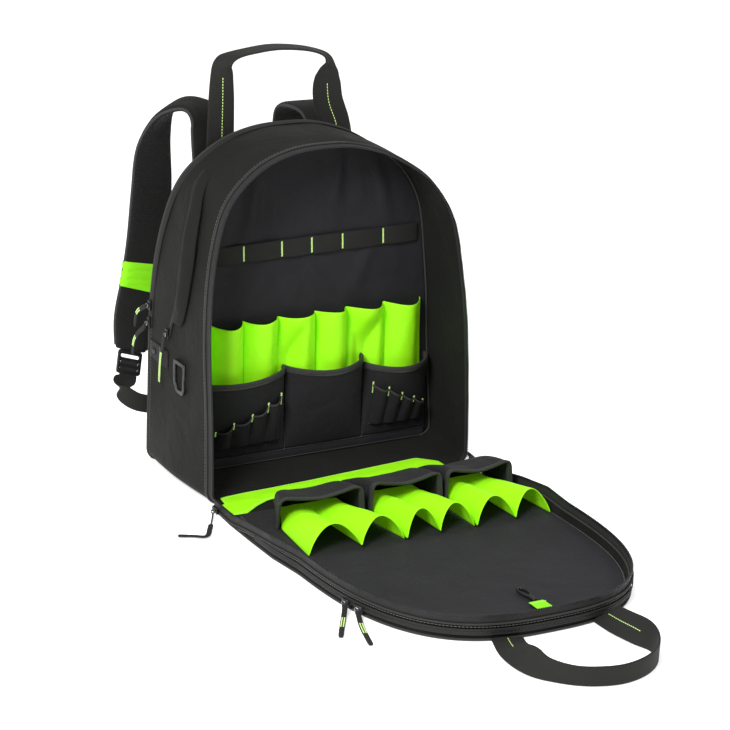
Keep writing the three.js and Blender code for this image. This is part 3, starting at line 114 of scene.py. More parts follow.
# The front panel, laid down
HINGE = 87
LID_DEPTH = 35
LID_MIDDLE = 380
LID_FLARE = 6
LID_SPREAD = 6
LID_PANEL = 3
ORGANIZER_RISE = 8
ORGANIZER = 2.5
ORGANIZER_CROWN = 3
ORGANIZER_START = 60
EDGE_SHARE = 0.985             # where the seam round its edge lies, from its middle outwards
LID_POCKET_RISE = 36
LID_POCKET_SAG = 7
LID_POCKET_START = 20
LID_POCKET_LENGTH = 112
LID_PLEAT_START = 64
LID_PLEAT_LENGTH = 160
LID_PLEAT_POINT = 10
LID_PLEAT_RISE = 35
LID_ZIP_HEIGHT = 8
LID_FACE = ORGANIZER_RISE + ORGANIZER

# Handles and straps
GRIP_HALF = 92
GRIP_REACH = 117
GRIP_WEBBING = 44
GRIP_THICK = 3
GRIP_SEWN = 20
LID_GRIP_REACH = 180
STRAP_WIDTH = 62
STRAP_THICK = 10
STRAP_BOW = 85
LOCK_LENGTH = 34
LOCK_THICK = 7
TAIL_LEAD = 7

# The left side
SIDE_ZIP_FROM = 202
SIDE_ZIP_TO = 416
FLAP_WIDTH = 26
FLAP_PUFF = 9
FLAP_CLOTH = 3
TAB_LENGTH = 62
TAB_HEIGHT = 168
TAB_BACK = 84
RIVET = 9
RING_LONG = 46
RING_WIDE = 36
RING_BAR = 6
RING_HEIGHT = 156
RING_FRONT = -18

# Pulls and the key clip
PULL_WIDE = 7
PULL_THICK = 2.1
HOOK_LONG = 46
HOOK_WIDE = 13
HOOK_BAR = 4
HOOK_MIDDLE = 0.62             # the middle of its ring and the sizes of its barrel, in shares of it
BARREL_WIDE = 0.55
BARREL_LONG = 0.34
KEY_TAB_LONG = 34
KEY_TAB_WIDE = 22
KEY_TAB_FROM = 32
KEY_X = 16


def lerp(a, b, t):
    return a + (b - a) * t


def clamp(value, low=0.0, high=1.0):
    return max(low, min(high, value))


def ease(value, low, high):
    t = clamp((value - low) / (high - low))
    return t * t * (3 - 2 * t)


def arch(t, power=1.0):
    """0 at both ends of a span from 0 to 1, and 1 in its middle."""
    return max(math.sin(math.pi * clamp(t)), 0.0) ** power


def flow(values, share):
    """Reads a list at a share from 0 to 1 of its length, on a smooth curve through its values."""
    place = clamp(share) * (len(values) - 1)
    i = min(int(place), len(values) - 2)
    t = place - i
    a, b, c, d = (values[max(i - 1, 0)], values[i], values[i + 1], values[min(i + 2, len(values) - 1)])
    square = 2 * a - 5 * b + 4 * c - d
    cube = 3 * b - 3 * c + d - a
    return 0.5 * (2 * b + (c - a) * t + square * t * t + cube * t ** 3)


def flow_point(points, share):
    """A point at a share of the smooth curve through the points."""
    return Vector([flow([p[k] for p in points], share) for k in range(3)])


def flowing(rows, name, share):
    """Reads a column of a table at a share from 0 to 1 of its rows, on a smooth curve."""
    return flow([getattr(row, name) for row in rows], share)


def straight(rows, name, share):
    """Reads a column at a share from 0 to 1 of its rows, on straight lines between them."""
    values = [getattr(row, name) for row in rows]
    place = clamp(share) * (len(values) - 1)
    i = min(int(place), len(values) - 2)
    return lerp(values[i], values[i + 1], place - i)


def between(a, b, t):
    """A row part of the way from one row of a table to another."""
    return type(a)(*(lerp(p, q, t) for p, q in zip(a, b)))


def part_of(u, count):
    """Which of so many equal parts a share falls in, and how far along that part it lies."""
    place = u * count
    part = min(int(place + 1e-9), count - 1)
    return part, clamp(place - part)


def run_lengths(points):
    """How far along the line through the points each of them lies."""
    runs = [0.0]
    for a, b in zip(points, points[1:]):
        runs.append(runs[-1] + (b - a).length)
    return runs


def crumple(p, size, seed=0.0):
    """Soft uneven folds: about -1 to 1, for folds of that size."""
    q = Vector((p.x / size + seed, p.y / size - seed, p.z / size + seed * 2))
    return noise.noise(q) + 0.45 * noise.noise(q * 2.1)


# Meshes

def own(name, mesh):
    piece = bpy.data.objects.new(name, mesh)
    bpy.context.collection.objects.link(piece)
    return piece


def mesh_of(bm, name):
    """Turns what was built into a mesh."""
    mesh = bpy.data.meshes.new(name)
    bm.to_mesh(mesh)
    bm.free()
    return mesh


def block(bm, centre, axes, sizes, shape):
    """Adds a box with its sides along three axes: shape(corner) moves each of its corners."""
    place = Matrix(axes).transposed().to_4x4()
    place.translation = centre * MM
    scale = Matrix.Diagonal((*(size * MM for size in sizes), 1))
    for v in bmesh.ops.create_cube(bm, size=1, matrix=place @ scale)["verts"]:
        corner = place.inverted() @ v.co
        shape(corner)
        v.co = place @ corner


def finish_piece(piece, material, nodes=(), slot=None, smooth=True):
    """Gives a piece its material and its body, and hides the solids that it stands for; slot is not used."""
    materials = material if isinstance(material, (list, tuple)) else [material]
    if not piece.data.materials:
        for one in materials:
            piece.data.materials.append(one)
    piece.data.polygons.foreach_set("use_smooth", [smooth] * len(piece.data.polygons))
    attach(piece, "root")
    if nodes:
        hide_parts(*([nodes] if isinstance(nodes, str) else nodes))
    return piece


def grid_mesh(name, at, across, along, round_=False, caps=False, facing=None):
    """A mesh over at(u, v), with a UV map that holds the lengths along the cloth in metres."""
    grid = [[Vector(at(i / across, j / along)) for j in range(along + 1)] for i in range(across + 1)]
    u_run = run_lengths([column[along // 2] for column in grid])
    v_run = run_lengths(grid[across // 2])
    bm = bmesh.new()
    layer = bm.loops.layers.uv.new("cloth")
    columns = across if round_ else across + 1
    verts = [[bm.verts.new(grid[i][j] * MM) for j in range(along + 1)] for i in range(columns)]
    for i in range(across):
        k = (i + 1) % columns
        for j in range(along):
            corners = [(i, i, j), (k, i + 1, j), (k, i + 1, j + 1), (i, i, j + 1)]
            face = bm.faces.new([verts[a][b] for a, _, b in corners])
            for loop, (_, run, b) in zip(face.loops, corners):
                loop[layer].uv = (u_run[run] * MM, v_run[b] * MM)
    if caps:
        for j in (0, along):
            bm.faces.new([verts[i][j] for i in range(columns)])
        bmesh.ops.recalc_face_normals(bm, faces=bm.faces[:])
    if facing is not None:
        way = facing if callable(facing) else (lambda centre: facing)
        bm.normal_update()
        lean = sum(f.normal.dot(way(f.calc_center_median() / MM)) * f.calc_area() for f in bm.faces)
        if lean < 0:
            bmesh.ops.reverse_faces(bm, faces=bm.faces[:])
    return mesh_of(bm, name)


def thicken(piece, thickness, offset=1.0, soft=1):
    """Gives a sheet its thickness, before its faces at an offset of 1, and softens it."""
    if thickness:
        solid = piece.modifiers.new("thickness", "SOLIDIFY")
        solid.thickness = thickness * MM
        solid.offset = offset
        solid.use_even_offset = False
    if soft:
        smooth = piece.modifiers.new("softness", "SUBSURF")
        smooth.levels = soft
        smooth.render_levels = soft
    return piece


def cloth(name, at, across, along, thickness, material, nodes=(), slot=None, facing=None, offset=1.0,
          round_=False, soft=1):
    """A sewn sheet over at(u, v)."""
    piece = own(name, grid_mesh(name, at, across, along, round_=round_, facing=facing))
    thicken(piece, thickness, offset, soft)
    return finish_piece(piece, material, nodes, slot)


def tube(name, points, radius, material, slot, closed=False):
    """A round cord through the points."""
    return finish_piece(own(name, tube_mesh(name, points, radius, closed)), material, slot=slot)


def tube_mesh(name, points, radius, closed, sides=8):
    count = len(points)
    turned = None
    rings = []
    for i, p in enumerate(points):
        before = points[(i - 1) % count if closed else max(i - 1, 0)]
        after = points[(i + 1) % count if closed else min(i + 1, count - 1)]
        along = (after - before).normalized()
        if turned is None:
            turned = along.orthogonal().normalized()
        turned = (turned - along * turned.dot(along)).normalized()
        other = along.cross(turned)
        rings.append([p + (turned * math.cos(a) + other * math.sin(a)) * radius
                      for a in (2 * math.pi * k / sides for k in range(sides))])
    bm = bmesh.new()
    layer = bm.loops.layers.uv.new("cloth")
    verts = [[bm.verts.new(q * MM) for q in ring] for ring in rings]
    run = 0.0
    for i in range(count if closed else count - 1):
        k = (i + 1) % count
        step = (points[k] - points[i]).length * MM
        for j in range(sides):
            m = (j + 1) % sides
            face = bm.faces.new([verts[i][j], verts[i][m], verts[k][m], verts[k][j]])
            for loop, uv in zip(face.loops, ((j, run), (j + 1, run), (j + 1, run + step), (j, run + step))):
                loop[layer].uv = (uv[0] / sides, uv[1])
        run += step
    if not closed:
        bm.faces.new(verts[0])
        bm.faces.new(verts[-1])
    bmesh.ops.recalc_face_normals(bm, faces=bm.faces[:])
    return mesh_of(bm, name)


def panel_mesh(name, outline, place, rings, facing):
    """A flat or crowned panel inside an outline of (a, b): place(a, b, ring) gives each point."""
    count = len(outline)
    middle = (sum(p[0] for p in outline) / count, sum(p[1] for p in outline) / count)
    bm = bmesh.new()
    layer = bm.loops.layers.uv.new("cloth")
    verts = []
    flat = []
    for r in range(rings):
        ring = 1 - (r / rings) ** 1.15
        row = [(lerp(middle[0], a, ring), lerp(middle[1], b, ring)) for a, b in outline]
        flat.append(row)
        verts.append([bm.verts.new(Vector(place(a, b, ring)) * MM) for a, b in row])
    centre = bm.verts.new(Vector(place(*middle, 0.0)) * MM)
    for r in range(rings - 1):
        for i in range(count):
            k = (i + 1) % count
            face = bm.faces.new([verts[r][i], verts[r][k], verts[r + 1][k], verts[r + 1][i]])
            for loop, (a, b) in zip(face.loops, (flat[r][i], flat[r][k], flat[r + 1][k], flat[r + 1][i])):
                loop[layer].uv = (a * MM, b * MM)
    for i in range(count):
        k = (i + 1) % count
        face = bm.faces.new([verts[-1][i], verts[-1][k], centre])
        for loop, (a, b) in zip(face.loops, (flat[-1][i], flat[-1][k], middle)):
            loop[layer].uv = (a * MM, b * MM)
    bm.normal_update()
    if sum(f.normal.dot(facing) * f.calc_area() for f in bm.faces) < 0:
        bmesh.ops.reverse_faces(bm, faces=bm.faces[:])
    return mesh_of(bm, name)


def panel(name, outline, place, rings, facing, thickness, material, node, slot, soft=1):
    """A panel inside an outline, with its thickness behind its face."""
    piece = own(name, panel_mesh(name, outline, place, rings, facing))
    thicken(piece, thickness, -1.0, soft)
    return finish_piece(piece, material, node, slot)


STITCH_SUNK = 0.35             # the share of a stitch's height that lies in the cloth
Stitch = namedtuple("Stitch", "long gap wide high")
BODY_SEAM = Stitch(3.2, 1.6, 0.7, 0.35)
LID_SEAM = Stitch(3.2, 1.6, 0.7, 0.4)
ORGANIZER_SEAM = Stitch(3.0, 1.7, 0.8, 0.4)
POCKET_SEAM = Stitch(2.6, 1.5, 0.6, 0.4)
SLOT_SEAM = Stitch(2.4, 1.4, 0.55, 0.35)
HINGE_SEAM = Stitch(2.6, 1.6, 0.6, 0.35)
GRIP_SEAM = Stitch(2.6, 1.5, 1.0, 0.5)
TAB_SEAM = Stitch(2.2, 1.2, 0.9, 0.5)
KEY_SEAM = Stitch(1.8, 0.9, 0.9, 0.5)
PULL_DASHES = Stitch(2.6, 0.7, 1.5, 0.6)


class Stitching:
    """Many short stitches in one piece."""

    def __init__(self, name, material, slot):
        self.name = name
        self.material = material
        self.slot = slot
        self.bm = bmesh.new()

    def stitch(self, start, end, out, wide, high):
        along = end - start
        long = along.length
        if long < 1e-6:
            return
        along = along / long
        side = out.cross(along).normalized()

        def sink(corner):
            corner.z -= high * MM * STITCH_SUNK
        block(self.bm, (start + end) / 2, (side, along, along.cross(side)), (wide, long, high), sink)

    def line(self, points, out, kind):
        """A row of stitches along the points: out is a direction, or one for each point."""
        runs = run_lengths(points)

        def spot(run):
            for i in range(len(points) - 1):
                if run <= runs[i + 1] + 1e-9:
                    span = max(runs[i + 1] - runs[i], 1e-9)
                    return points[i].lerp(points[i + 1], (run - runs[i]) / span), i
            return points[-1], len(points) - 2

        count = max(int((runs[-1] + kind.gap) / (kind.long + kind.gap)), 1)
        pitch = (runs[-1] + kind.gap) / count
        for n in range(count):
            a, i = spot(n * pitch)
            b, _ = spot(n * pitch + pitch - kind.gap)
            self.stitch(a, b, out[i] if isinstance(out, list) else out, kind.wide, kind.high)

    def done(self):
        finish_piece(own(self.name, mesh_of(self.bm, self.name)), self.material, slot=self.slot, smooth=False)


# Materials

class Wire:
    """A socket of a material's nodes that takes part in sums."""

    def __init__(self, tree, socket):
        self.tree = tree
        self.socket = socket

    def math(self, operation, *values, first=None):
        node = self.tree.nodes.new("ShaderNodeMath")
        node.operation = operation
        for slot, value in enumerate((self if first is None else first, *values)):
            join(self.tree, node.inputs[slot], value)
        return Wire(self.tree, node.outputs[0])

    def __add__(self, other):
        return self.math("ADD", other)

    __radd__ = __add__

    def __mul__(self, other):
        return self.math("MULTIPLY", other)

    def __sub__(self, other):
        return self.math("SUBTRACT", other)

    def __rsub__(self, other):
        return self.math("SUBTRACT", self, first=other)

    def wave(self, pitch):
        """0 to 1 and back over each pitch."""
        return (self * (2 * math.pi / pitch)).math("SINE") * 0.5 + 0.5

    def stepped(self, low, high):
        """0 below low, 1 above high."""
        node = self.tree.nodes.new("ShaderNodeMapRange")
        node.interpolation_type = "SMOOTHSTEP"
        join(self.tree, node.inputs["Value"], self)
        node.inputs["From Min"].default_value = low
        node.inputs["From Max"].default_value = high
        return Wire(self.tree, node.outputs[0])

    def limit(self):
        return self.math("MINIMUM", 1.0).math("MAXIMUM", 0.0)


def join(tree, socket, value):
    if isinstance(value, Wire):
        tree.links.new(value.socket, socket)
    elif socket.type == "RGBA":
        socket.default_value = (*value[:3], 1.0)
    else:
        socket.default_value = value


class Finish:
    """A material of the bag, with one method that makes any node."""

    def __init__(self, name, roughness=0.8, sheen=0.0, metallic=0.0, specular=0.5):
        self.material = bpy.data.materials.new(name)
        self.material.use_nodes = True
        self.tree = self.material.node_tree
        self.tree.nodes.clear()
        self.shader = self.tree.nodes.new("ShaderNodeBsdfPrincipled")
        output = self.tree.nodes.new("ShaderNodeOutputMaterial")
        self.tree.links.new(self.shader.outputs[0], output.inputs["Surface"])
        self.set("Roughness", roughness)
        self.set("Metallic", metallic)
        self.set("Sheen Weight", sheen)
        self.set("Sheen Roughness", 0.5)
        self.set("Specular IOR Level", specular)

    def make(self, kind, inputs=(), out=0, **settings):
        node = self.tree.nodes.new("ShaderNode" + kind)
        for name, value in settings.items():
            setattr(node, name, value)
        for name, value in dict(inputs).items():
            join(self.tree, node.inputs[name], value)
        return Wire(self.tree, node.outputs[out])

    def set(self, name, value):
        join(self.tree, self.shader.inputs[name], value)

    def parts(self, wire):
        """The three parts of a vector."""
        node = self.tree.nodes.new("ShaderNodeSeparateXYZ")
        join(self.tree, node.inputs[0], wire)
        return [Wire(self.tree, out) for out in node.outputs]

    def cloth_map(self):
        """Lengths across and along the cloth, in metres."""
        return self.parts(self.make("UVMap", uv_map="cloth"))[:2]

    def place(self):
        """The point on the bag, in metres."""
        return self.make("TexCoord", out="Object")

    def noise(self, vector, scale, detail=3.0, roughness=0.5, distortion=0.0):
        return self.make("TexNoise", {"Vector": vector, "Scale": scale, "Detail": detail,
                                      "Roughness": roughness, "Distortion": distortion})

    def blend(self, factor, one, two):
        return self.make("Mix", {0: factor, 6: one, 7: two}, out=2, data_type="RGBA")

    def relief(self, height, strength=0.5, distance=0.001, under=None):
        inputs = {"Height": height, "Strength": strength, "Distance": distance}
        if under is not None:
            inputs["Normal"] = under
        return self.make("Bump", inputs)

    def surface(self, colour, roughness, normal, glow=0.0):
        """Joins what the surface shows to the shader, and gives the material."""
        self.set("Base Color", colour)
        self.set("Roughness", roughness)
        self.set("Normal", normal)
        # A glow is painted light: the surface emits its own colour though it is no lamp.
        if glow:
            self.set("Emission Color", colour)
            self.set("Emission Strength", glow)
        return self.material


def woven(name, dark, light, pitch=0.0011, weave=0.5, folds=0.5, roughness=0.78, sheen=0.08, glow=0.0,
          specular=0.35, fold_size=18.0):
    """A plain woven cloth: threads over and under, uneven dye, and small creased folds whose shade is painted
    into its colour.
    """
    finish = Finish(name, roughness=roughness, sheen=sheen, specular=specular)
    u, v = finish.cloth_map()
    point = finish.place()
    over = u.wave(pitch) * v.wave(pitch)
    under = (1 - u.wave(pitch)) * (1 - v.wave(pitch))
    threads = (over + under).limit()
    patches = finish.noise(point, 9.0, 4.0)
    fine = finish.noise(point, 260.0, 2.0)
    creases_and_shade = finish.noise(point, fold_size, 3.0, 0.55, 0.6)
    # The crease noise in the tone is painted shade: darker in the folds' hollows, lighter on their ridges.
    tone = (patches * 0.45 + fine * 0.2 + threads * 0.25 + creases_and_shade * 0.25 - 0.08).limit()
    colour = finish.blend(tone, dark, light)
    broad = finish.relief(creases_and_shade, folds, 0.004)
    normal = finish.relief(threads + fine * 0.6, weave, 0.00022, broad)
    return finish.surface(colour, roughness - 0.12 + fine * 0.2, normal, glow)


def ribbed(name, dark, light, pitch=0.0016, roughness=0.72):
    """Narrow woven webbing: raised ribs across it, and rows of warp along it."""
    finish = Finish(name, roughness=roughness, sheen=0.03, specular=0.16)
    u, v = finish.cloth_map()
    point = finish.place()
    ribs = v.wave(pitch)
    rows = u.wave(pitch * 1.7)
    threads = (ribs * 0.65 + rows * 0.35).limit()
    patches = finish.noise(point, 22.0, 3.0)
    fine = finish.noise(point, 320.0, 2.0)
    tone = (threads * 0.4 + patches * 0.4 + fine * 0.25 - 0.06).limit()
    colour = finish.blend(tone, dark, light)
    normal = finish.relief(threads + fine * 0.4, 0.6, 0.0003)
    return finish.surface(colour, roughness - 0.1 + fine * 0.2, normal)


def open_mesh(name, dark, light, pitch=0.0042):
    """Spacer mesh: rows of small round holes over foam, with the shade in the holes painted darker."""
    finish = Finish(name, roughness=0.85, sheen=0.03, specular=0.12)
    u, v = finish.cloth_map()
    point = finish.place()
    one = u.wave(pitch) * v.wave(pitch)
    two = (1 - u.wave(pitch)) * (1 - v.wave(pitch))
    holes = (one + two).stepped(0.35, 0.75)
    fine = finish.noise(point, 240.0, 2.0)
    patches = finish.noise(point, 14.0, 3.0)
    # The holes' darker tone is painted shade in them.
    tone = ((1 - holes) * 0.6 + fine * 0.2 + patches * 0.3 - 0.1).limit()
    normal = finish.relief((1 - holes) + fine * 0.2, 0.7, 0.0008)
    return finish.surface(finish.blend(tone, dark, light), 0.75 + fine * 0.2, normal)


def moulded(name, dark, light, roughness=0.42):
    """Moulded plastic: faint grain, scuffs and uneven gloss."""
    finish = Finish(name, roughness=roughness, specular=0.3)
    point = finish.place()
    grain = finish.noise(point, 900.0, 2.0)
    scuffs = finish.noise(point, 90.0, 5.0, 0.7, 1.5).stepped(0.52, 0.72)
    colour = finish.blend((scuffs * 0.6 + grain * 0.3).limit(), dark, light)
    normal = finish.relief(grain + scuffs * 0.4, 0.25, 0.0002)
    return finish.surface(colour, roughness - 0.06 + scuffs * 0.22 + grain * 0.08, normal)


def brushed(name, dark, light, roughness=0.3):
    """Cast metal with worn high places."""
    finish = Finish(name, roughness=roughness, metallic=1.0)
    point = finish.place()
    x, y, z = finish.parts(point)
    brush = finish.noise(finish.make("CombineXYZ", {"X": x * 30, "Y": y * 30, "Z": z * 900}), 3.0, 3.0)
    worn = finish.noise(point, 120.0, 4.0, 0.65).stepped(0.45, 0.7)
    colour = finish.blend((worn * 0.7 + brush * 0.3).limit(), dark, light)
    normal = finish.relief(brush, 0.15, 0.0002)
    return finish.surface(colour, roughness - 0.05 + brush * 0.15 + worn * 0.08, normal)


def thread(name, dark, light, glow=0.0):
    """Sewing thread: twisted strands with a soft shine."""
    finish = Finish(name, roughness=0.55, sheen=0.2)
    point = finish.place()
    x, y, z = finish.parts(point)
    strands = (x + y + z).wave(0.0009)
    fine = finish.noise(point, 500.0, 2.0)
    colour = finish.blend((strands * 0.5 + fine * 0.5).limit(), dark, light)
    return finish.surface(colour, 0.45 + fine * 0.2, finish.relief(strands, 0.4, 0.0002), glow)


OUTER = woven("outer_cloth", (0.0034, 0.0034, 0.003), (0.0155, 0.0152, 0.0132), sheen=0.02, specular=0.12,
              folds=0.8)
INNER = woven("inner_cloth", (0.0085, 0.0078, 0.0095), (0.023, 0.021, 0.025), pitch=0.0009, weave=0.3,
              folds=0.7, roughness=0.7, specular=0.16, sheen=0.03)
# The lime cloth's glow is painted light that lifts it where it lies in shade.
LIME = woven("lime_cloth", (0.25, 0.74, 0.0), (0.39, 1.0, 0.012), pitch=0.0009, weave=0.3, folds=0.45,
             roughness=0.6, glow=0.09, sheen=0.0, specular=0.3)
EDGE = ribbed("edge_binding", (0.018, 0.017, 0.0175), (0.06, 0.058, 0.059))
BELT = ribbed("black_webbing", (0.0062, 0.0062, 0.0056), (0.025, 0.0245, 0.022))
LIME_BELT = ribbed("lime_webbing", (0.16, 0.62, 0.0), (0.3, 0.85, 0.02))
TAPE_CLOTH = ribbed("zip_tape", (0.011, 0.0105, 0.011), (0.034, 0.033, 0.033), pitch=0.0012)
PIPING = ribbed("piping", (0.016, 0.0155, 0.015), (0.055, 0.054, 0.051))
MESH_PAD = open_mesh("spacer_mesh", (0.004, 0.004, 0.004), (0.02, 0.02, 0.019))
TEETH = moulded("zip_teeth", (0.012, 0.012, 0.0125), (0.04, 0.04, 0.042), roughness=0.38)
PLASTIC = moulded("moulded_plastic", (0.007, 0.007, 0.0075), (0.02, 0.02, 0.021))
METAL = brushed("cast_metal", (0.2, 0.2, 0.205), (0.55, 0.55, 0.56))
DARK_METAL = brushed("dark_metal", (0.03, 0.03, 0.031), (0.11, 0.11, 0.115), roughness=0.4)
# The lime thread's glow is painted light as well.
LIME_THREAD = thread("lime_thread", (0.35, 0.62, 0.12), (0.72, 0.95, 0.35), glow=0.15)
DARK_THREAD = thread("dark_thread", (0.05, 0.05, 0.048), (0.13, 0.13, 0.125))

lime_seams = Stitching("lime_stitches", LIME_THREAD, "lime_cloth")
dark_seams = Stitching("dark_stitches", DARK_THREAD, "black_cloth")


# The body's outline, seen from the front, and what lies on its walls

Spot = namedtuple("Spot", "x z nx nz")
Out = namedtuple("Out", "out")
ARCH_ROWS = [Out(v) for v in (0, 0, 0.9, 0.4, -0.6, -0.5, 0.3, 0.1, 0, 0.3, -0.1, -0.2, 0)]


def front_at(z):
    return -DEPTH / 2 + FRONT_LEAN * (z / HEIGHT) ** 2


def rear_at(z):
    return DEPTH / 2 - REAR_LEAN * (z / HEIGHT)


def divider_at(z):
    return DIVIDER_Y + DIVIDER_LEAN * (z / HEIGHT)


def arch_point(turn):
    c, s = math.cos(turn), max(math.sin(turn), 0.0)
    x = math.copysign(abs(c) ** (2 / ARCH_POWER), c)
    return WIDTH / 2 * x, SHOULDER + (HEIGHT - SHOULDER) * s ** (2 / ARCH_POWER)


def body_outline(arch_steps=76, corner_steps=6, side_steps=8, floor_steps=5):
    half = WIDTH / 2
    right = [((half - CORNER) * i / floor_steps, 0.0) for i in range(floor_steps)]
    for i in range(corner_steps + 1):
        turn = i / corner_steps * math.pi / 2
        right.append((half - CORNER * (1 - math.sin(turn)), CORNER * (1 - math.cos(turn))))
    for i in range(1, side_steps):
        right.append((half, lerp(CORNER, SHOULDER, i / side_steps)))
    over = []
    for i in range(arch_steps + 1):
        share = i / arch_steps
        turn = share * math.pi
        x, z = arch_point(turn)
        out = SETTLE * flowing(ARCH_ROWS, "out", share)
        over.append((x + math.cos(turn) * out, z + math.sin(turn) * out))
    left = [(-x, z) for x, z in reversed(right)]
    points = right + over + left[:-1]
    count = len(points)
    spots = []
    for i, (x, z) in enumerate(points):
        ax, az = points[(i - 1) % count]
        bx, bz = points[(i + 1) % count]
        one = Vector((x - ax, z - az)).normalized()
        two = Vector((bx - x, bz - z)).normalized()
        way = (one + two).normalized()
        spots.append(Spot(x, z, way.y, -way.x))
    return spots


OUTLINE = body_outline()
COUNT = len(OUTLINE)
RIGHT_WALL = OUTLINE[5:COUNT // 2 + 2]
LEFT_WALL = [Spot(-s.x, s.z, -s.nx, s.nz) for s in RIGHT_WALL]


def spot_at(place):
    """The outline at a place counted in spots, from the middle of the floor round to the right."""
    i = int(math.floor(place)) % COUNT
    t = place - math.floor(place)
    return between(OUTLINE[i], OUTLINE[(i + 1) % COUNT], t)


def skin(spot, y, out):
    """A point beside an outline spot, at a distance back and a height above the skin."""
    share = (y - front_at(spot.z)) / (rear_at(spot.z) - front_at(spot.z))
    bulge = lerp(FLOOR_BULGE, SIDE_BULGE, ease(spot.z, 0, SHOULDER))
    puff = bulge * arch(share, 0.95)
    return Vector((spot.x + spot.nx * (puff + out), y, spot.z + spot.nz * out + max(spot.nz, 0) * puff))


def wall_spot(side, z):
    wall = RIGHT_WALL if side > 0 else LEFT_WALL
    i = next((n for n, s in enumerate(wall) if s.z > z), len(wall) - 1)
    i = max(i, 1)
    a, b = wall[i - 1], wall[i]
    t = clamp((z - a.z) / max(b.z - a.z, 1e-6))
    return between(a, b, t)


def inside_at(share, z):
    spot = wall_spot(1, clamp(z, 0.5, HEIGHT - 1))
    return share * (abs(spot.x) - abs(spot.nx) * (WALL + GAP) - 0.4)


def outward(centre):
    """Away from the middle of the body, for a piece that wraps it."""
    return Vector((centre.x, 0, centre.z - BODY_MIDDLE))


def wall_folds(p, spot, share):
    """How the slack cloth of the walls swells and sinks."""
    edge = ease(share, 0.02, 0.16) * (1 - ease(share, 0.86, 0.99))
    side = ease(spot.z, 6, 60)
    return edge * (2.3 * crumple(p, 85, 3.1) + 0.8 * crumple(p, 34, 8.2)) * (0.35 + 0.65 * side)


def body_gusset():
    def at(u, v):
        spot = spot_at(u * COUNT)
        front = front_at(spot.z) + ZIP_TAPE * ease(spot.z, 0, 6)
        y = lerp(front, rear_at(spot.z) - BACK_PAD - GAP, v)
        p = skin(spot, y, 0)
        p = skin(spot, y, wall_folds(p, spot, v))
        return Vector((p.x, p.y, max(p.z, 0)))
    cloth("body_shell", at, COUNT, 28, WALL, OUTER, "body_gusset", "black_cloth", outward,
          offset=-1.0, round_=True)


def edge_line(depth, out, start=6, end=None, from_rear=False):
    """A line round the body's outline at a depth from its front edge, or from its rear one."""
    end = COUNT - 6 if end is None else end
    points = []
    steps = (end - start) * 2
    for i in range(steps + 1):
        spot = spot_at(start + (end - start) * i / steps)
        y = rear_at(spot.z) - depth if from_rear else front_at(spot.z) + depth
        points.append(skin(spot, y, out))
    return points


def grounded(points, clear):
    """The same points, with none nearer to the ground than that."""
    return [Vector((p.x, p.y, max(p.z, clear))) for p in points]


def ways_out(points, way):
    return [way(p).normalized() for p in points]


def body_trim():
    """The cord sewn into the body's front and rear edges, and the seams beside them."""
    rear = grounded(edge_line(BACK_PAD + 1.5, 0.6, 0, COUNT, from_rear=True)[:-1], 2.4)
    tube("rear_edge_cord", rear, REAR_CORD, PIPING, "binding", closed=True)
    tube("front_edge_cord", grounded(edge_line(ZIP_TAPE + 0.6, 0.2), 1.6), FRONT_CORD, PIPING, "binding")
    for depth, at_rear in ((ZIP_TAPE + 5, False), (BACK_PAD + 6, True)):
        line = grounded(edge_line(depth, 0.35, 9, COUNT - 9, from_rear=at_rear), 0.6)
        dark_seams.line(line, ways_out(line, outward), BODY_SEAM)


def main_zip_body():
    start, end = ZIP_CORNER, COUNT - ZIP_CORNER

    def tape(u, v):
        spot = spot_at(lerp(start, end, u))
        ripple = 0.35 * math.sin(u * 240) * (1 - v)
        return skin(spot, front_at(spot.z) + v * (ZIP_TAPE - GAP), -WALL / 2 + ripple)
    cloth("main_zip_tape_body", tape, 260, 5, ZIP_CLOTH, TAPE_CLOTH, "main_zip_body", "zip", outward,
          offset=0.0)
    zip_teeth("main_zip_teeth_body", edge_line(1.6, -WALL / 2, 7, COUNT - 7), outward)


Teeth = namedtuple("Teeth", "pitch long wide high")
MOULDED_TEETH = Teeth(3.1, 3.2, 1.9, 2.6)
COIL = Teeth(2.4, 2.6, 1.5, 1.2)


def zip_teeth(name, line, way, teeth=MOULDED_TEETH):
    """A row of moulded teeth that stand across a line."""
    def taper(corner):
        if corner.z > 0:
            corner.x *= 0.55
            corner.y *= 0.8
    bm = bmesh.new()
    runs = run_lengths(line)
    i = 0
    for n in range(int(runs[-1] / teeth.pitch)):
        run = (n + 0.5) * teeth.pitch
        while runs[i + 1] < run:
            i += 1
        t = (run - runs[i]) / max(runs[i + 1] - runs[i], 1e-9)
        p = line[i].lerp(line[i + 1], t)
        along = (line[i + 1] - line[i]).normalized()
        up = way(p)
        up = (up - along * up.dot(along)).normalized()
        block(bm, p, (along, along.cross(up), up), (teeth.wide, teeth.long, teeth.high), taper)
    finish_piece(own(name, mesh_of(bm, name)), TEETH, slot="zip", smooth=False)


def back_panel():
    outline = [(s.x, s.z) for s in OUTLINE]

    def place(x, z, ring):
        crown = BACK_CROWN * (1 - ring * ring)
        soft = 0.7 * crumple(Vector((x, 0, z)), 60, 5.0) * (1 - ring ** 4)
        return Vector((x, rear_at(z) - 1.5 + crown + 1.5 * (1 - ring ** 6) + soft, z))
    piece = panel("back_pad", outline, place, 14, -FORWARD, BACK_PAD - 1.5, MESH_PAD, "back_panel",
                  "black_cloth")


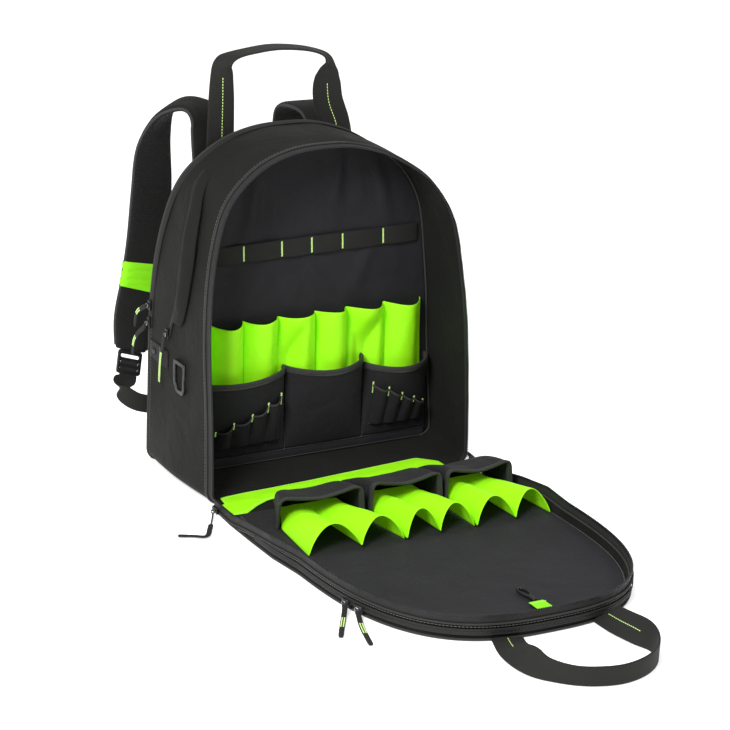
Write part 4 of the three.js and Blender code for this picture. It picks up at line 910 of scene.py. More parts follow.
Fold = namedtuple("Fold", "x z lean wide long deep")
DIVIDER_FOLDS = (
    Fold(-72, 372, 0.22, 8, 50, 9.0), Fold(-54, 356, -0.1, 10, 44, -5.0), Fold(60, 408, 0.12, 7, 42, 8.5),
    Fold(76, 398, 0.05, 10, 44, -5.0), Fold(122, 388, -0.25, 8, 50, 9.0), Fold(-120, 330, 0.3, 12, 55, 6.0),
    Fold(20, 262, -0.5, 10, 34, 5.0), Fold(96, 262, 0.4, 10, 38, 5.5), Fold(-60, 256, 0.6, 10, 32, 4.5),
)


def divider_face(x, z):
    """How the divider's cloth swells and folds: it hangs in soft upright folds below the arch."""
    folds = 0.0
    for fold in DIVIDER_FOLDS:
        across = (x - fold.x - fold.lean * (z - fold.z)) / fold.wide
        folds += fold.deep * math.exp(-across ** 2 - ((z - fold.z) / fold.long) ** 2)
    low = 2.6 * crumple(Vector((x, 0, z * 0.55)), 48, 2.4) + 0.7 * crumple(Vector((x, 0, z)), 19, 6.0)
    return folds + low * ease(z, 20, 120)


def divider():
    outline = []
    for s in OUTLINE:
        p = skin(s, divider_at(s.z), -WALL - GAP)
        outline.append((p.x, p.z))

    def place(x, z, ring):
        return Vector((x, divider_at(z) - divider_face(x, z) * (1 - ring ** 5) + 0.6, z))
    panel("divider_cloth", outline, place, 26, FORWARD, DIVIDER, INNER, "divider", "inner_cloth")
    spots = [spot_at(6 + (COUNT - 12) * i / 200) for i in range(201)]
    cord = [skin(s, divider_at(s.z) - 3, -WALL - 1.6) for s in spots]
    tube("divider_edge_cord", cord, 1.5, PIPING, "binding")


def rear_zip():
    over = [i for i in range(COUNT) if OUTLINE[i].z > REAR_ZIP_END]
    start, end = over[0], over[-1]

    def line(across, up):
        def at(u):
            spot = spot_at(lerp(start, end, u))
            rise = (spot.z - REAR_ZIP_END) / (HEIGHT - REAR_ZIP_END)
            back = lerp(BACK_PAD + GAP + FLAT_ZIP / 2 + 1, REAR_ZIP_BACK, rise)
            return skin(spot, rear_at(spot.z) - back + across, up)
        return at
    flat_zip("rear_zip_tape", "rear_zip", line, outward, FLAT_ZIP, 230)


def flat_zip(name, node, line, way, wide, steps, lip=1.0):
    """A closed zip: two tapes that meet over a coil, with a folded lip along each side."""
    half = wide / 2
    side = [(half, 0.5), (half - 0.5, 1.9 * lip), (half - 1.8, 2.1 * lip), (half - 2.4, 0.9), (0.9, 0.8)]
    profile = [(-across, up) for across, up in side] + [(0, 1.3)] + side[::-1]
    lines = [line(across, up) for across, up in profile]
    last = len(profile) - 1
    cloth(name, lambda u, v: lines[round(v * last)](u), steps, last, 0.5, TAPE_CLOTH, node, "zip", way,
          offset=-1.0)
    coil = line(0, 1.1)
    zip_teeth(name + "_coil", [coil(i / 200) for i in range(201)], way, COIL)


def on_divider(x, z, forward):
    return Vector((x, divider_at(z) - GAP - forward, z))


# What is sewn to the divider

LOOP_TACKS = (-0.985, -0.72, -0.47, -0.16, 0.085, 0.34, 0.68, 0.975)
PLEAT_TACKS = (-0.975, -0.725, -0.472, -0.195, 0.1, 0.35, 0.655, 0.96)
PLEAT_GROUPS = (("pleats_left", 0, 3), ("pleats_middle", 3, 5), ("pleats_right", 5, 7))
Pocket = namedtuple("Pocket", "name low high top")
POCKETS = (Pocket("left", -0.985, -0.165, 1.0), Pocket("middle", -0.145, 0.462, 1.0),
           Pocket("right", 0.482, 0.985, 0.92))
INSIDE = WIDTH / 2 - WALL - GAP


def in_row(tacks, start, end, u):
    """Which tunnel a share of a row falls in, how far along it, and its share of the inside width."""
    tunnel, part = part_of(u, end - start)
    return start + tunnel, part, lerp(tacks[start + tunnel], tacks[start + tunnel + 1], part)


def loop_strip():
    last = len(LOOP_TACKS) - 1

    def at(u, v):
        _, part, share = in_row(LOOP_TACKS, 0, last, u)
        z = LOOP_HEIGHT + (v - 0.5) * WEBBING
        x = inside_at(share, LOOP_HEIGHT)
        return on_divider(x, z, 0.8 + LOOP_PUFF * arch(part, 0.6))
    cloth("tool_loops", at, 84, 6, WEBBING_THICK, BELT, "loop_strip", "webbing", FORWARD)
    for share in LOOP_TACKS[2:-1]:
        x = inside_at(share, LOOP_HEIGHT)
        bar_tack([on_divider(x, LOOP_HEIGHT + k * LOOP_TACK_HALF, 3.4) for k in (-1, 0, 1)], FORWARD)


def bar_tack(points, out, wide=2.3):
    """A dense bar of lime stitches along the points."""
    for a, b in zip(points, points[1:]):
        along = (b - a).normalized()
        side = out.cross(along).normalized()
        count = max(int((b - a).length / 0.9), 2)
        for n in range(count):
            p = a.lerp(b, (n + 0.5) / count)
            lean = along * (0.35 if n % 2 else -0.35)
            lime_seams.stitch(p - side * wide / 2 - lean, p + side * wide / 2 + lean, out, 0.75, 0.7)


def pinched(x, z):
    near = min(abs(x - INSIDE * edge) for pocket in POCKETS for edge in (pocket.low, pocket.high))
    return max(ease(near, 2, PINCH), ease(z, POCKET_TOP, PLEAT_TOP))


def pleats():
    for name, start, end in PLEAT_GROUPS:
        def at(u, v, start=start, end=end):
            tack, part, share = in_row(PLEAT_TACKS, start, end, u)
            z = lerp(PLEAT_FOOT, PLEAT_TOP, v)
            x = inside_at(share, z)
            full = arch(part, 0.75)
            bulge = PLEAT_DEPTH * full * max(v, 0.0) ** 0.8 * pinched(x, z)
            fold = 1.7 * crumple(Vector((x, 0, z * 0.5)), 22, 4.0) * full
            top = -2.5 * full * ease(v, 0.75, 1) * math.sin(part * 2.4 + tack)
            return on_divider(x, z + top, 0.3 + max(bulge + fold, 0.0))
        piece = cloth(name + "_cloth", at, 16 * (end - start), 26, CLOTH, LIME, name, "lime_cloth",
                      FORWARD)
        declare_cloth(at)


def declare_cloth(at):
    """Works out the size that a sheet was cut to, from the lengths along its rows; the sizes are not kept or
    used.
    """
    steps = 60
    places = [i / steps for i in range(steps + 1)]
    width = max(sum((at(b, v) - at(a, v)).length for a, b in zip(places, places[1:])) for v in (0, 0.5, 1))
    length = max(sum((at(u, b) - at(u, a)).length for a, b in zip(places, places[1:])) for u in places)
    area = 0.0
    for i in range(steps):
        for j in range(steps):
            a = at(i / steps, j / steps)
            b = at((i + 1) / steps, j / steps)
            c = at((i + 1) / steps, (j + 1) / steps)
            d = at(i / steps, (j + 1) / steps)
            area += ((b - a).cross(c - a).length + (c - a).cross(d - a).length) / 2
    area = min(area * MM * MM, width * length * MM * MM)


def pocket_face(pocket, u, z):
    x = lerp(inside_at(pocket.low, z), inside_at(pocket.high, z), u)
    rise = clamp((z - HEM) / (POCKET_TOP * pocket.top - HEM))
    full = arch(u, 0.5)
    folds = 1.6 * crumple(Vector((x, 0, z)), 40, 6.0) * arch(u, 0.7) * arch(rise, 0.5)
    sag = -POCKET_SAG * arch(u, 1.5) * ease(rise, 0.6, 1)
    forward = CLOTH + 4 * GAP + POCKET_DEPTH * full * rise ** 0.85 + folds
    return on_divider(x, z + sag, forward)


def turning(u):
    return 0.5 - 0.5 * math.cos(math.pi * u)


def pockets():
    for pocket in POCKETS:
        top = POCKET_TOP * pocket.top

        def face(u, v, pocket=pocket, top=top):
            return pocket_face(pocket, turning(u), lerp(HEM + 1, top - BINDING / 2, v))
        cloth(f"pocket_{pocket.name}_cloth", face, 40, 20, CLOTH, INNER, f"pocket_{pocket.name}",
              "inner_cloth", FORWARD)

        def rim(u, v, pocket=pocket, top=top):
            p = pocket_face(pocket, turning(u), lerp(top - BINDING, top, v))
            return p - FORWARD * (0.8 * (1 - arch(v, 0.5)) + 0.09 * math.sin(u * 90))
        cloth(f"pocket_{pocket.name}_binding", rim, 48, 6, BINDING_THICK, EDGE, f"binding_{pocket.name}",
              "binding", FORWARD)
        for edge in (pocket.low, pocket.high):
            seam_tape(pocket, edge, top)
        line = [pocket_face(pocket, turning(0.02 + 0.96 * i / 40), top - BINDING + 1.6)
                + FORWARD * (BINDING_THICK + 0.1) for i in range(41)]
        dark_seams.line(line, FORWARD, POCKET_SEAM)


def seam_tape(pocket, edge, top):
    """The flat edge of a pocket, sewn down beside its neighbour."""
    way = 1 if edge == pocket.high else -1

    def at(u, v):
        z = lerp(HEM, top - 2, v)
        return on_divider(inside_at(edge, z) + way * (3.4 * u - 0.6), z, 1.9 + 0.3 * math.sin(v * 21))
    name = f"pocket_{pocket.name}_seam_{'b' if way > 0 else 'a'}"
    cloth(name, at, 3, 24, 0.8, INNER, slot="inner_cloth", facing=FORWARD)
    line = [at(0.5, i / 30) + FORWARD * 0.9 for i in range(31)]
    dark_seams.line(line, FORWARD, POCKET_SEAM)


Slot = namedtuple("Slot", "u top")
SLOTS_LEFT = (Slot(0.29, 0.5), Slot(0.45, 0.58), Slot(0.62, 0.65), Slot(0.78, 0.74), Slot(0.93, 0.8))
SLOTS_RIGHT = (Slot(0.07, 0.84), Slot(0.27, 0.79), Slot(0.48, 0.7), Slot(0.7, 0.62), Slot(0.9, 0.54))


def tool_slots(name, pocket, tacks):
    last = len(tacks) - 1
    top = POCKET_TOP * pocket.top - BINDING - GAP
    off = CLOTH + GAP + 0.8

    def at(u, v):
        slot, part = part_of(u, last)
        across = lerp(tacks[slot].u, tacks[slot + 1].u, part)
        high = top * lerp(tacks[slot].top, tacks[slot + 1].top, part) - 3.0 * arch(part, 0.8)
        puff = (SLOT_DEPTH + SLOT_PUFF) * arch(part, 0.9) * (0.35 + 0.65 * v)
        p = pocket_face(pocket, across, lerp(SLOT_FOOT, high, v))
        return p + FORWARD * (off + puff)
    cloth(f"{name}_cloth", at, 12 * last, 14, SLOT_CLOTH, INNER, name, "inner_cloth", FORWARD)
    cloth(f"{name}_edge", lambda u, v: at(u, 0.93 + 0.07 * v) + FORWARD * 0.4, 12 * last, 2, 1.8,
          EDGE, slot="binding", facing=FORWARD)
    for n in range(last + 1):
        u = n / last
        bar_tack([at(u, v) + FORWARD * 3.4 for v in (0.78, 0.9, 1.04)], FORWARD, 2.2)
        line = [at(u, v / 20) + FORWARD * (SLOT_CLOTH + 0.1) for v in range(18)]
        dark_seams.line(line, FORWARD, SLOT_SEAM)


def hem_band():
    def at(u, v):
        z = lerp(HEM_FOOT, HEM, v)
        x = inside_at(lerp(-1, 1, u), z)
        return on_divider(x, z, 0.3 + 1.3 * arch(v, 0.6) + 0.5 * crumple(Vector((x, 0, z)), 25, 1.0))
    cloth("hem_fold", at, 60, 6, CLOTH, INNER, "hem_band", "inner_cloth", FORWARD)
    for z in (5.5, HEM - 0.8):
        points = [on_divider(inside_at(lerp(-0.99, 0.99, i / 60), z), z, 3.0) for i in range(61)]
        tube(f"hem_cord_{round(z)}", points, 0.9, PIPING, "binding")


# The front panel, laid down

LID_START = -DEPTH / 2 - 2 * GAP - ZIP_TEETH
LID_BASE = -DEPTH / 2 - HINGE
Way = namedtuple("Way", "x y nx ny")
Wall = namedtuple("Wall", "rise flare spread")
LID_WALL_ROWS = (Wall(0.4, 0.2, 0), Wall(0.45, 0.4, 0.8), Wall(0.75, 0.8, 1), Wall(0.95, 1, 1),
                 Wall(1, 0.6, 0))


def lid_path(arch_steps=80, side_steps=26):
    left = []
    for i in range(side_steps):
        left.append((-WIDTH / 2, lerp(LID_START, LID_BASE - SHOULDER, i / side_steps)))
    for i in range(arch_steps // 2):
        x, z = arch_point(i / arch_steps * math.pi)
        left.append((-x, LID_BASE - z))
    points = left + [(0.0, LID_BASE - HEIGHT)] + [(-x, y) for x, y in reversed(left)]
    ways = []
    for i, (x, y) in enumerate(points):
        a, b = points[max(i - 1, 0)], points[min(i + 1, len(points) - 1)]
        along = Vector((b[0] - a[0], b[1] - a[1])).normalized()
        ways.append(Way(x, y, along.y, -along.x))
    return ways


LID_PATH = lid_path()
LID_LAST = len(LID_PATH) - 1


def way_at(u):
    place = clamp(u) * LID_LAST
    i = min(int(place), LID_LAST - 1)
    t = place - i
    return between(LID_PATH[i], LID_PATH[i + 1], t)


def lid_wall(way, inward, share, off):
    """A point of the lid's wall: inward from its outside, a share of the height there and a length off it."""
    away = (LID_START - way.y) / (HINGE + SHOULDER)
    rise = LID_DEPTH * straight(LID_WALL_ROWS, "rise", away)
    z = rise * share + off
    flare = LID_FLARE * straight(LID_WALL_ROWS, "flare", away) * (z / LID_DEPTH)
    spread = LID_SPREAD * straight(LID_WALL_ROWS, "spread", away)
    slack = 1.2 * crumple(Vector((way.x, way.y, z)), 60, 7.7) * arch(share, 0.5)
    move = flare + spread - inward + slack
    return Vector((way.x + way.nx * move, way.y + way.ny * move, z))


def lid_outward(centre):
    return Vector((centre.x, centre.y + LID_MIDDLE, 0))


def lid_line(share, off, inward, start=0.0, end=1.0, steps=320):
    return [lid_wall(way_at(lerp(start, end, i / steps)), inward, share, off) for i in range(steps + 1)]


LID_SIDE_CLEAR = 2.5           # the wall's lower edge, with room under it for its slanted thickness
Cord = namedtuple("Cord", "name share off inward clear radius")
LID_CORDS = (Cord("lid_foot_cord", 0, 1.8, -0.6, 1.8, 1.7),
             Cord("lid_edge_cord", 1, -ZIP_TAPE - 0.4, -0.5, 1.6, 1.5),
             Cord("lid_inner_cord", 1, -ZIP_TAPE - 0.8, WALL + 0.8, 1.6, 1.4))


def lid_gusset():
    def at(u, v):
        way = way_at(u)
        p = lid_wall(way, 1.0 * arch(v, 0.8), v, -ZIP_TAPE * v)
        return Vector((p.x, p.y, max(p.z, LID_SIDE_CLEAR)))
    cloth("lid_side", at, 300, 8, WALL, OUTER, "lid_gusset", "black_cloth", lid_outward, offset=-1.0)
    for cord in LID_CORDS:
        line = grounded(lid_line(cord.share, cord.off, cord.inward), cord.clear)
        tube(cord.name, line, cord.radius, PIPING, "binding")
    line = grounded(lid_line(1, -ZIP_TAPE - 4, -0.7), 1.0)
    dark_seams.line(line, ways_out(line, lid_outward), LID_SEAM)


def main_zip_lid():
    def tape(u, v):
        way = way_at(u)
        ripple = 0.4 * math.sin(u * 260) * (1 - v)
        return lid_wall(way, WALL / 2 + ripple, 1, -v * (ZIP_TAPE - GAP))
    cloth("main_zip_tape_lid", tape, 320, 5, ZIP_CLOTH, TAPE_CLOTH, "main_zip_lid", "zip", lid_outward,
          offset=0.0)
    zip_teeth("main_zip_teeth_lid", lid_line(1, -1.6, WALL / 2), lid_outward)


def lid_pocket_zip():
    inside = [i for i, w in enumerate(LID_PATH) if w.y < LID_BASE - SHOULDER / 3]
    start, end = inside[0] / LID_LAST, inside[-1] / LID_LAST

    def line(across, up):
        return lambda u: lid_wall(way_at(lerp(start, end, u)), -1.3 - up * 0.8, 0,
                                  LID_ZIP_HEIGHT + FLAT_ZIP / 2 + across)
    flat_zip("lid_pocket_zip_tape", "lid_pocket_zip", line, lid_outward, FLAT_ZIP, 240, lip=0.8)


def inside_lid(inset, start):
    points = [(w.x - w.nx * inset, w.y - w.ny * inset) for w in LID_PATH if w.y < start - 4]
    side = WIDTH / 2 - inset
    rows = 10
    edge = [(lerp(side, -side, i / rows), start) for i in range(1, rows)]
    return [(-side, start)] + points + [(side, start)] + edge


def lid_panel():
    outline = inside_lid(WALL + GAP, LID_BASE - GAP)

    def place(x, y, ring):
        return Vector((x, y, 0.4))
    panel("lid_back", outline, place, 12, -UP, LID_PANEL - 0.4, OUTER, "lid_panel", "black_cloth", soft=0)


def lid_bottom_gusset():
    def at(u, v):
        x = lerp(-INSIDE, INSIDE, u)
        y = lerp(-DEPTH / 2 - GAP, LID_BASE + GAP, v)
        fold = 1.4 * arch(v, 0.6) * (0.5 + 0.5 * crumple(Vector((x * 0.5, y, 0)), 26, 9.0))
        return Vector((x, y, 0.3 + max(fold, 0)))
    cloth("hinge_cloth", at, 60, 18, LID_PANEL - 1.4, OUTER, "lid_bottom_gusset", "black_cloth",
          UP)


def lid_organizer():
    outline = inside_lid(WALL + 2 * GAP, -DEPTH / 2 - ORGANIZER_START)

    def place(x, y, ring):
        crown = -ORGANIZER_CROWN * (1 - ring * ring)
        soft = 1.4 * crumple(Vector((x, y, 0)), 75, 11.0) + 0.5 * crumple(Vector((x, y, 0)), 24, 12.0)
        ridge = 2.2 * math.exp(-((ring - 0.9) / 0.05) ** 2)
        return Vector((x, y, LID_FACE + crown + soft * (1 - ring ** 6) + ridge))
    panel("lid_inner_cloth", outline, place, 26, UP, ORGANIZER, INNER, "lid_organizer", "inner_cloth")
    edge = [p for p in outline if p[1] < -DEPTH / 2 - ORGANIZER_START - 2]
    line = [Vector((x * EDGE_SHARE, (y + LID_MIDDLE) * EDGE_SHARE - LID_MIDDLE, LID_FACE + 2))
            for x, y in edge]
    dark_seams.line(line, UP, ORGANIZER_SEAM)


Tack = namedtuple("Tack", "start mouth tip")
LID_PLEAT_GROUPS = (
    ("lid_pleats_left", (Tack(-0.66, -0.83, -0.885), Tack(-0.47, -0.5, -0.49), Tack(-0.23, -0.225, -0.165))),
    ("lid_pleats_middle", (Tack(-0.12, -0.11, -0.14), Tack(0.115, 0.115, 0.11), Tack(0.37, 0.38, 0.375))),
    ("lid_pleats_right", (Tack(0.475, 0.48, 0.4), Tack(0.7, 0.7, 0.7), Tack(0.915, 0.94, 0.975))),
)
LID_MOUTH = 0.42


def lid_pleats():
    for name, tacks in LID_PLEAT_GROUPS:
        def at(u, v, tacks=tacks):
            tack, part = part_of(u, len(tacks) - 1)
            edges = []
            for one in (tacks[tack], tacks[tack + 1]):
                if v < LID_MOUTH:
                    edges.append(lerp(one.start, one.mouth, v / LID_MOUTH))
                else:
                    edges.append(lerp(one.mouth, one.tip, (v - LID_MOUTH) / (1 - LID_MOUTH)))
            full = arch(part, 0.75)
            y = -DEPTH / 2 - LID_PLEAT_START - LID_PLEAT_LENGTH * v - LID_PLEAT_POINT * (1 - full) * v
            x = INSIDE * lerp(edges[0], edges[1], part)
            fold = 1.2 * crumple(Vector((x, y * 0.5, 0)), 26, 14.0) * full
            return Vector((x, y, LID_FACE + GAP + 0.2 + LID_PLEAT_RISE * full * v ** 0.8 + fold))
        piece = cloth(name + "_cloth", at, 40, 30, CLOTH, LIME, name, "lime_cloth", UP)
        declare_cloth(at)


LidPocket = namedtuple("LidPocket", "name sewn_low sewn_high low high")
LID_POCKETS = (LidPocket("left", -0.6, -0.2, -0.86, -0.2), LidPocket("middle", -0.17, 0.4, -0.14, 0.41),
               LidPocket("right", 0.44, 0.95, 0.45, 0.97))
Section = namedtuple("Section", "side up sag")
LID_POCKET_ROWS = (
    Section(0, 0, 0), Section(0.01, 0.5, 0), Section(0.03, 0.88, 0), Section(0.1, 1, 0),
    Section(0.26, 1, 0.5), Section(0.5, 1, 1), Section(0.74, 1, 0.5), Section(0.9, 1, 0),
    Section(0.97, 0.88, 0), Section(0.99, 0.5, 0), Section(1, 0, 0))


def lid_pocket_face(pocket, u, along, inward):
    """A point of a lid pocket: u round its section, along from the sewn edge to the mouth."""
    side, up, sag = (flowing(LID_POCKET_ROWS, name, u) for name in ("side", "up", "sag"))
    side, up = clamp(side), clamp(up, 0, 1.02)
    left = INSIDE * lerp(pocket.sewn_low, pocket.low, along)
    right = INSIDE * lerp(pocket.sewn_high, pocket.high, along)
    foot = lerp(LID_PANEL + GAP, LID_FACE + GAP, ease(along, 0.05, 0.22))
    high = (LID_POCKET_RISE - LID_POCKET_SAG * sag) * math.sin(math.pi / 2 * along) + 3 * CLOTH
    turn = clamp((side - 0.5) / 0.47, -1, 1)
    lean = math.copysign(ease(abs(turn), 0.6, 0.95), turn)
    x = lerp(left, right, side) - lean * inward
    z = foot + high * up - ease(up, 0.5, 0.95) * inward
    y = -DEPTH / 2 - LID_POCKET_START - LID_POCKET_LENGTH * along
    fold = 1.3 * crumple(Vector((x, y, 0)), 34, 15.0) * ease(up, 0.3, 0.9) * arch(along, 0.5)
    return Vector((x, y, z + fold))


def lid_pockets():
    end = 1 - BINDING / LID_POCKET_LENGTH
    for pocket in LID_POCKETS:
        def face(u, v, pocket=pocket):
            return lid_pocket_face(pocket, u, v * end, 0)

        def way(centre, pocket=pocket):
            middle = INSIDE * (pocket.low + pocket.high) / 2
            return Vector((centre.x - middle, 0, centre.z - 4))
        cloth(f"lid_pocket_{pocket.name}_cloth", face, 44, 20, CLOTH, INNER, f"lid_pocket_{pocket.name}",
              "inner_cloth", way, offset=-1.0)

        def rim(u, v, pocket=pocket):
            return lid_pocket_face(pocket, u, lerp(end, 1, v), -0.8 * arch(v, 0.5))
        cloth(f"lid_pocket_{pocket.name}_binding", rim, 50, 5, BINDING_THICK, EDGE,
              f"lid_binding_{pocket.name}", "binding", way, offset=-1.0)
        tube(f"lid_pocket_{pocket.name}_cord", [lid_pocket_face(pocket, i / 60, 1, -0.4) for i in range(61)],
             1.7, PIPING, "binding")


Strip = namedtuple("Strip", "side back front")
STRIP_ROWS = (
    Strip(-0.965, -0.08, 0.52), Strip(-0.93, -0.06, 0.54), Strip(-0.913, 0.19, 0.54),
    Strip(-0.86, 0.22, 0.54), Strip(-0.74, 0.24, 0.33), Strip(-0.63, 0.25, 0.19),
    Strip(-0.5, 0.26, 0.13), Strip(-0.2, 0.3, 0.13),
    Strip(0.1, 0.36, 0.17), Strip(0.4, 0.42, 0.16), Strip(0.7, 0.48, 0.17), Strip(0.82, 0.2, 0.2))


def hinge_strip():
    def at(u, v):
        side, back, front = (straight(STRIP_ROWS, name, u) for name in ("side", "back", "front"))
        y = -DEPTH / 2 + HINGE * lerp(back, -front, v)
        x = INSIDE * side
        slack = 1.6 * arch(v, 0.5) * (0.6 + 0.5 * crumple(Vector((x * 0.35, y, 0)), 15, 2.0))
        return Vector((x, y, WALL + GAP + 0.1 + max(slack, 0)))
    piece = cloth("lime_hinge_cloth", at, 88, 14, CLOTH, LIME, "hinge_strip", "lime_cloth", UP)
    declare_cloth(at)
    for v in (0.07, 0.93):
        line = [at(0.06 + 0.88 * i / 80, v) + UP * (CLOTH + 0.15) for i in range(81)]
        lime_seams.line(line, UP, HINGE_SEAM)


# Handles and straps

Grip = namedtuple("Grip", "side reach width turn lift")
GRIP_ROWS = [Grip(*row, 0) for row in (
    (-0.95, -0.17, 0.95, 0), (-0.945, 0.04, 0.95, 0), (-0.935, 0.42, 0.88, 3), (-0.93, 0.7, 0.74, 14),
    (-0.91, 0.86, 0.62, 40), (-0.76, 0.945, 0.66, 68), (-0.44, 0.985, 0.72, 85), (-0.05, 1, 0.75, 90),
    (0.4, 0.955, 0.72, 94), (0.7, 0.88, 0.64, 108), (0.83, 0.78, 0.58, 138), (0.83, 0.65, 0.85, 166),
    (0.815, 0.5, 1.02, 177), (0.85, 0.27, 1.04, 180), (0.98, 0.0, 1, 180), (0.99, -0.17, 0.98, 180))]
LID_GRIP_ROWS = [Grip(*row) for row in (
    (-0.68, 0.099, 0.95, 0, 0.05), (-0.75, 0.22, 0.97, 0, 0.05), (-0.86, 0.4, 0.95, 16, 0.19),
    (-0.93, 0.62, 0.82, 45, 0.33), (-0.87, 0.78, 0.66, 74, 0.33), (-0.65, 0.93, 0.6, 88, 0.31),
    (-0.35, 1.02, 0.6, 90, 0.31), (0, 1.05, 0.6, 90, 0.31), (0.4, 0.99, 0.6, 90, 0.31),
    (0.73, 0.85, 0.6, 88, 0.31), (0.87, 0.68, 0.68, 70, 0.34), (0.87, 0.5, 0.86, 42, 0.32),
    (0.86, 0.3, 0.96, 26, 0.25), (0.87, 0.0945, 0.98, 16, 0.18))]
Band = namedtuple("Band", "at across width")
Run = namedtuple("Run", "at along across up width")
Seam = namedtuple("Seam", "start end shift")


def grip_frames(rows, place, standing, steps=110):
    """Where a handle's webbing runs, and which way its width lies."""
    sideways = Vector((1, 0, 0))
    frames = []
    for i in range(steps + 1):
        u = i / steps
        row = Grip(*(flowing(rows, name, u) for name in Grip._fields))
        turn = math.radians(row.turn)
        frames.append(Band(place(row), sideways * math.cos(turn) + standing * math.sin(turn),
                           GRIP_WEBBING * row.width))
    return frames


def squared(frames):
    """Turns each band's width square to its run."""
    out = []
    for i, frame_ in enumerate(frames):
        a = frames[max(i - 1, 0)].at
        b = frames[min(i + 1, len(frames) - 1)].at
        along = (b - a).normalized()
        across = (frame_.across - along * frame_.across.dot(along)).normalized()
        out.append(Run(frame_.at, along, across, along.cross(across), frame_.width))
    return out


def webbing_band(name, frames, thick, node):
    """A strip of black webbing along the frames; gives its rows."""
    rows = squared(frames)
    last = len(rows) - 1

    def at(u, v):
        row = rows[round(u * last)]
        return row.at + row.across * (v - 0.5) * row.width
    cloth(name, at, last, 8, thick, BELT, node, "webbing", offset=0.0)
    return rows


def back_crown(x, z):
    cx = sum(s.x for s in OUTLINE) / COUNT
    cz = sum(s.z for s in OUTLINE) / COUNT
    ring = 0.0
    for i in range(0, COUNT, 2):
        a, b = OUTLINE[i], OUTLINE[(i + 2) % COUNT]
        edge = (b.x - a.x, b.z - a.z)
        out = (edge[1], -edge[0])
        far = (a.x - cx) * out[0] + (a.z - cz) * out[1]
        if far > 1e-6:
            ring = max(ring, ((x - cx) * out[0] + (z - cz) * out[1]) / far)
    return BACK_CROWN * (1 - min(ring, 1.0) ** 2)


def behind_back(x, z, off):
    return Vector((x, rear_at(z) + back_crown(x, z) + GAP + off, z))


def top_handle():
    base = HEIGHT - 12
    crown = back_crown(GRIP_HALF * 0.7, base - GRIP_SEWN)
    back = rear_at(base) + crown + GAP + GRIP_THICK / 2

    def place(row):
        return Vector((row.side * GRIP_HALF, back, base + row.reach * GRIP_REACH))
    frames = grip_frames(GRIP_ROWS, place, FORWARD)
    rows = webbing_band("top_handle_webbing", frames, GRIP_THICK, "top_handle")
    sew_grip(rows, (Seam(0.03, 0.2, 0.04), Seam(0.8, 0.97, 0)))


def sew_grip(rows, seams):
    """Lime stitches along a handle's webbing, on both of its faces."""
    last = len(rows) - 1
    for face in (-1, 1):
        for seam in seams:
            sewn = rows[round(seam.start * last):round(seam.end * last) + 1]
            line = [row.at + row.across * seam.shift * row.width + row.up * face * (GRIP_THICK / 2 + 0.15)
                    for row in sewn]
            outs = [row.up * face for row in sewn]
            lime_seams.line(line, outs, GRIP_SEAM)


def lid_handle():
    end = LID_BASE - HEIGHT + GRIP_SEWN

    def place(row):
        rise = GAP + max(row.lift * GRIP_WEBBING, GRIP_THICK / 2)
        return Vector((row.side * GRIP_HALF, end - row.reach * LID_GRIP_REACH, rise))
    frames = grip_frames(LID_GRIP_ROWS, place, UP)
    rows = webbing_band("lid_handle_webbing", frames, GRIP_THICK, "lid_handle")
    sew_grip(rows, (Seam(0.02, 0.1, 0), Seam(0.84, 0.98, 0)))


Strap = namedtuple("Strap", "out back up turn wide")
STRAP_LEFT_ROWS = [Strap(*row) for row in (
    (0.47, 0.004, 0.8, 0, 0.9), (0.48, 0.075, 0.935, 4, 0.95), (0.5, 0.2, 1.02, 20, 1),
    (0.6, 0.4, 1.062, 48, 1), (0.73, 0.64, 1.03, 42, 1), (0.775, 0.84, 0.93, 22, 1), (0.76, 0.97, 0.78, 8, 1),
    (0.775, 1, 0.62, 2, 1), (0.838, 0.92, 0.485, 0, 0.98), (0.93, 0.74, 0.385, 0, 0.92),
    (1, 0.53, 0.305, 0, 0.7))]
STRAP_RIGHT_ROWS = [Strap(*row) for row in (
    (0.46, 0.004, 0.8, 0, 0.9), (0.45, 0.075, 0.935, 0, 0.95), (0.42, 0.27, 1, 4, 1), (0.38, 0.6, 1.01, 8, 1),
    (0.37, 0.95, 0.985, 8, 1), (0.41, 1.15, 0.9, 6, 1), (0.5, 1.2, 0.78, 4, 1), (0.62, 1.14, 0.62, 2, 1),
    (0.76, 0.98, 0.485, 0, 0.98), (0.91, 0.76, 0.385, 0, 0.92), (1, 0.53, 0.305, 0, 0.7))]
TAIL_ROWS = [Strap(*row, 0, 1) for row in (
    (1.15, 0.24, 0.225), (1.13, 0.13, 0.2), (1.05, 0.05, 0.175), (0.93, 0.01, 0.16), (0.84, 0.01, 0.15))]


STRAP_SIDES = 28
STRAP_FLATNESS = 0.34          # the powers that square the pad's oval section
STRAP_ROUNDNESS = 0.6
STRAP_BAND_FROM = 22.6 / 30
STRAP_BAND_TO = 24.4 / 30
STRAP_BAND_OFF = 1.8


def strap_point(row, side, off):
    return behind_back(side * row.out * WIDTH / 2, row.up * HEIGHT, off + row.back * STRAP_BOW)


def strap_frames(rows, side, steps=120):
    middles = [strap_point(row, side, STRAP_THICK / 2) for row in rows]
    frames = []
    for i in range(steps + 1):
        u = i / steps
        turn = math.radians(flowing(rows, "turn", u))
        across = Vector((math.cos(turn), -side * math.sin(turn), 0))
        frames.append(Band(flow_point(middles, u), across, STRAP_WIDTH * flowing(rows, "wide", u)))
    return frames


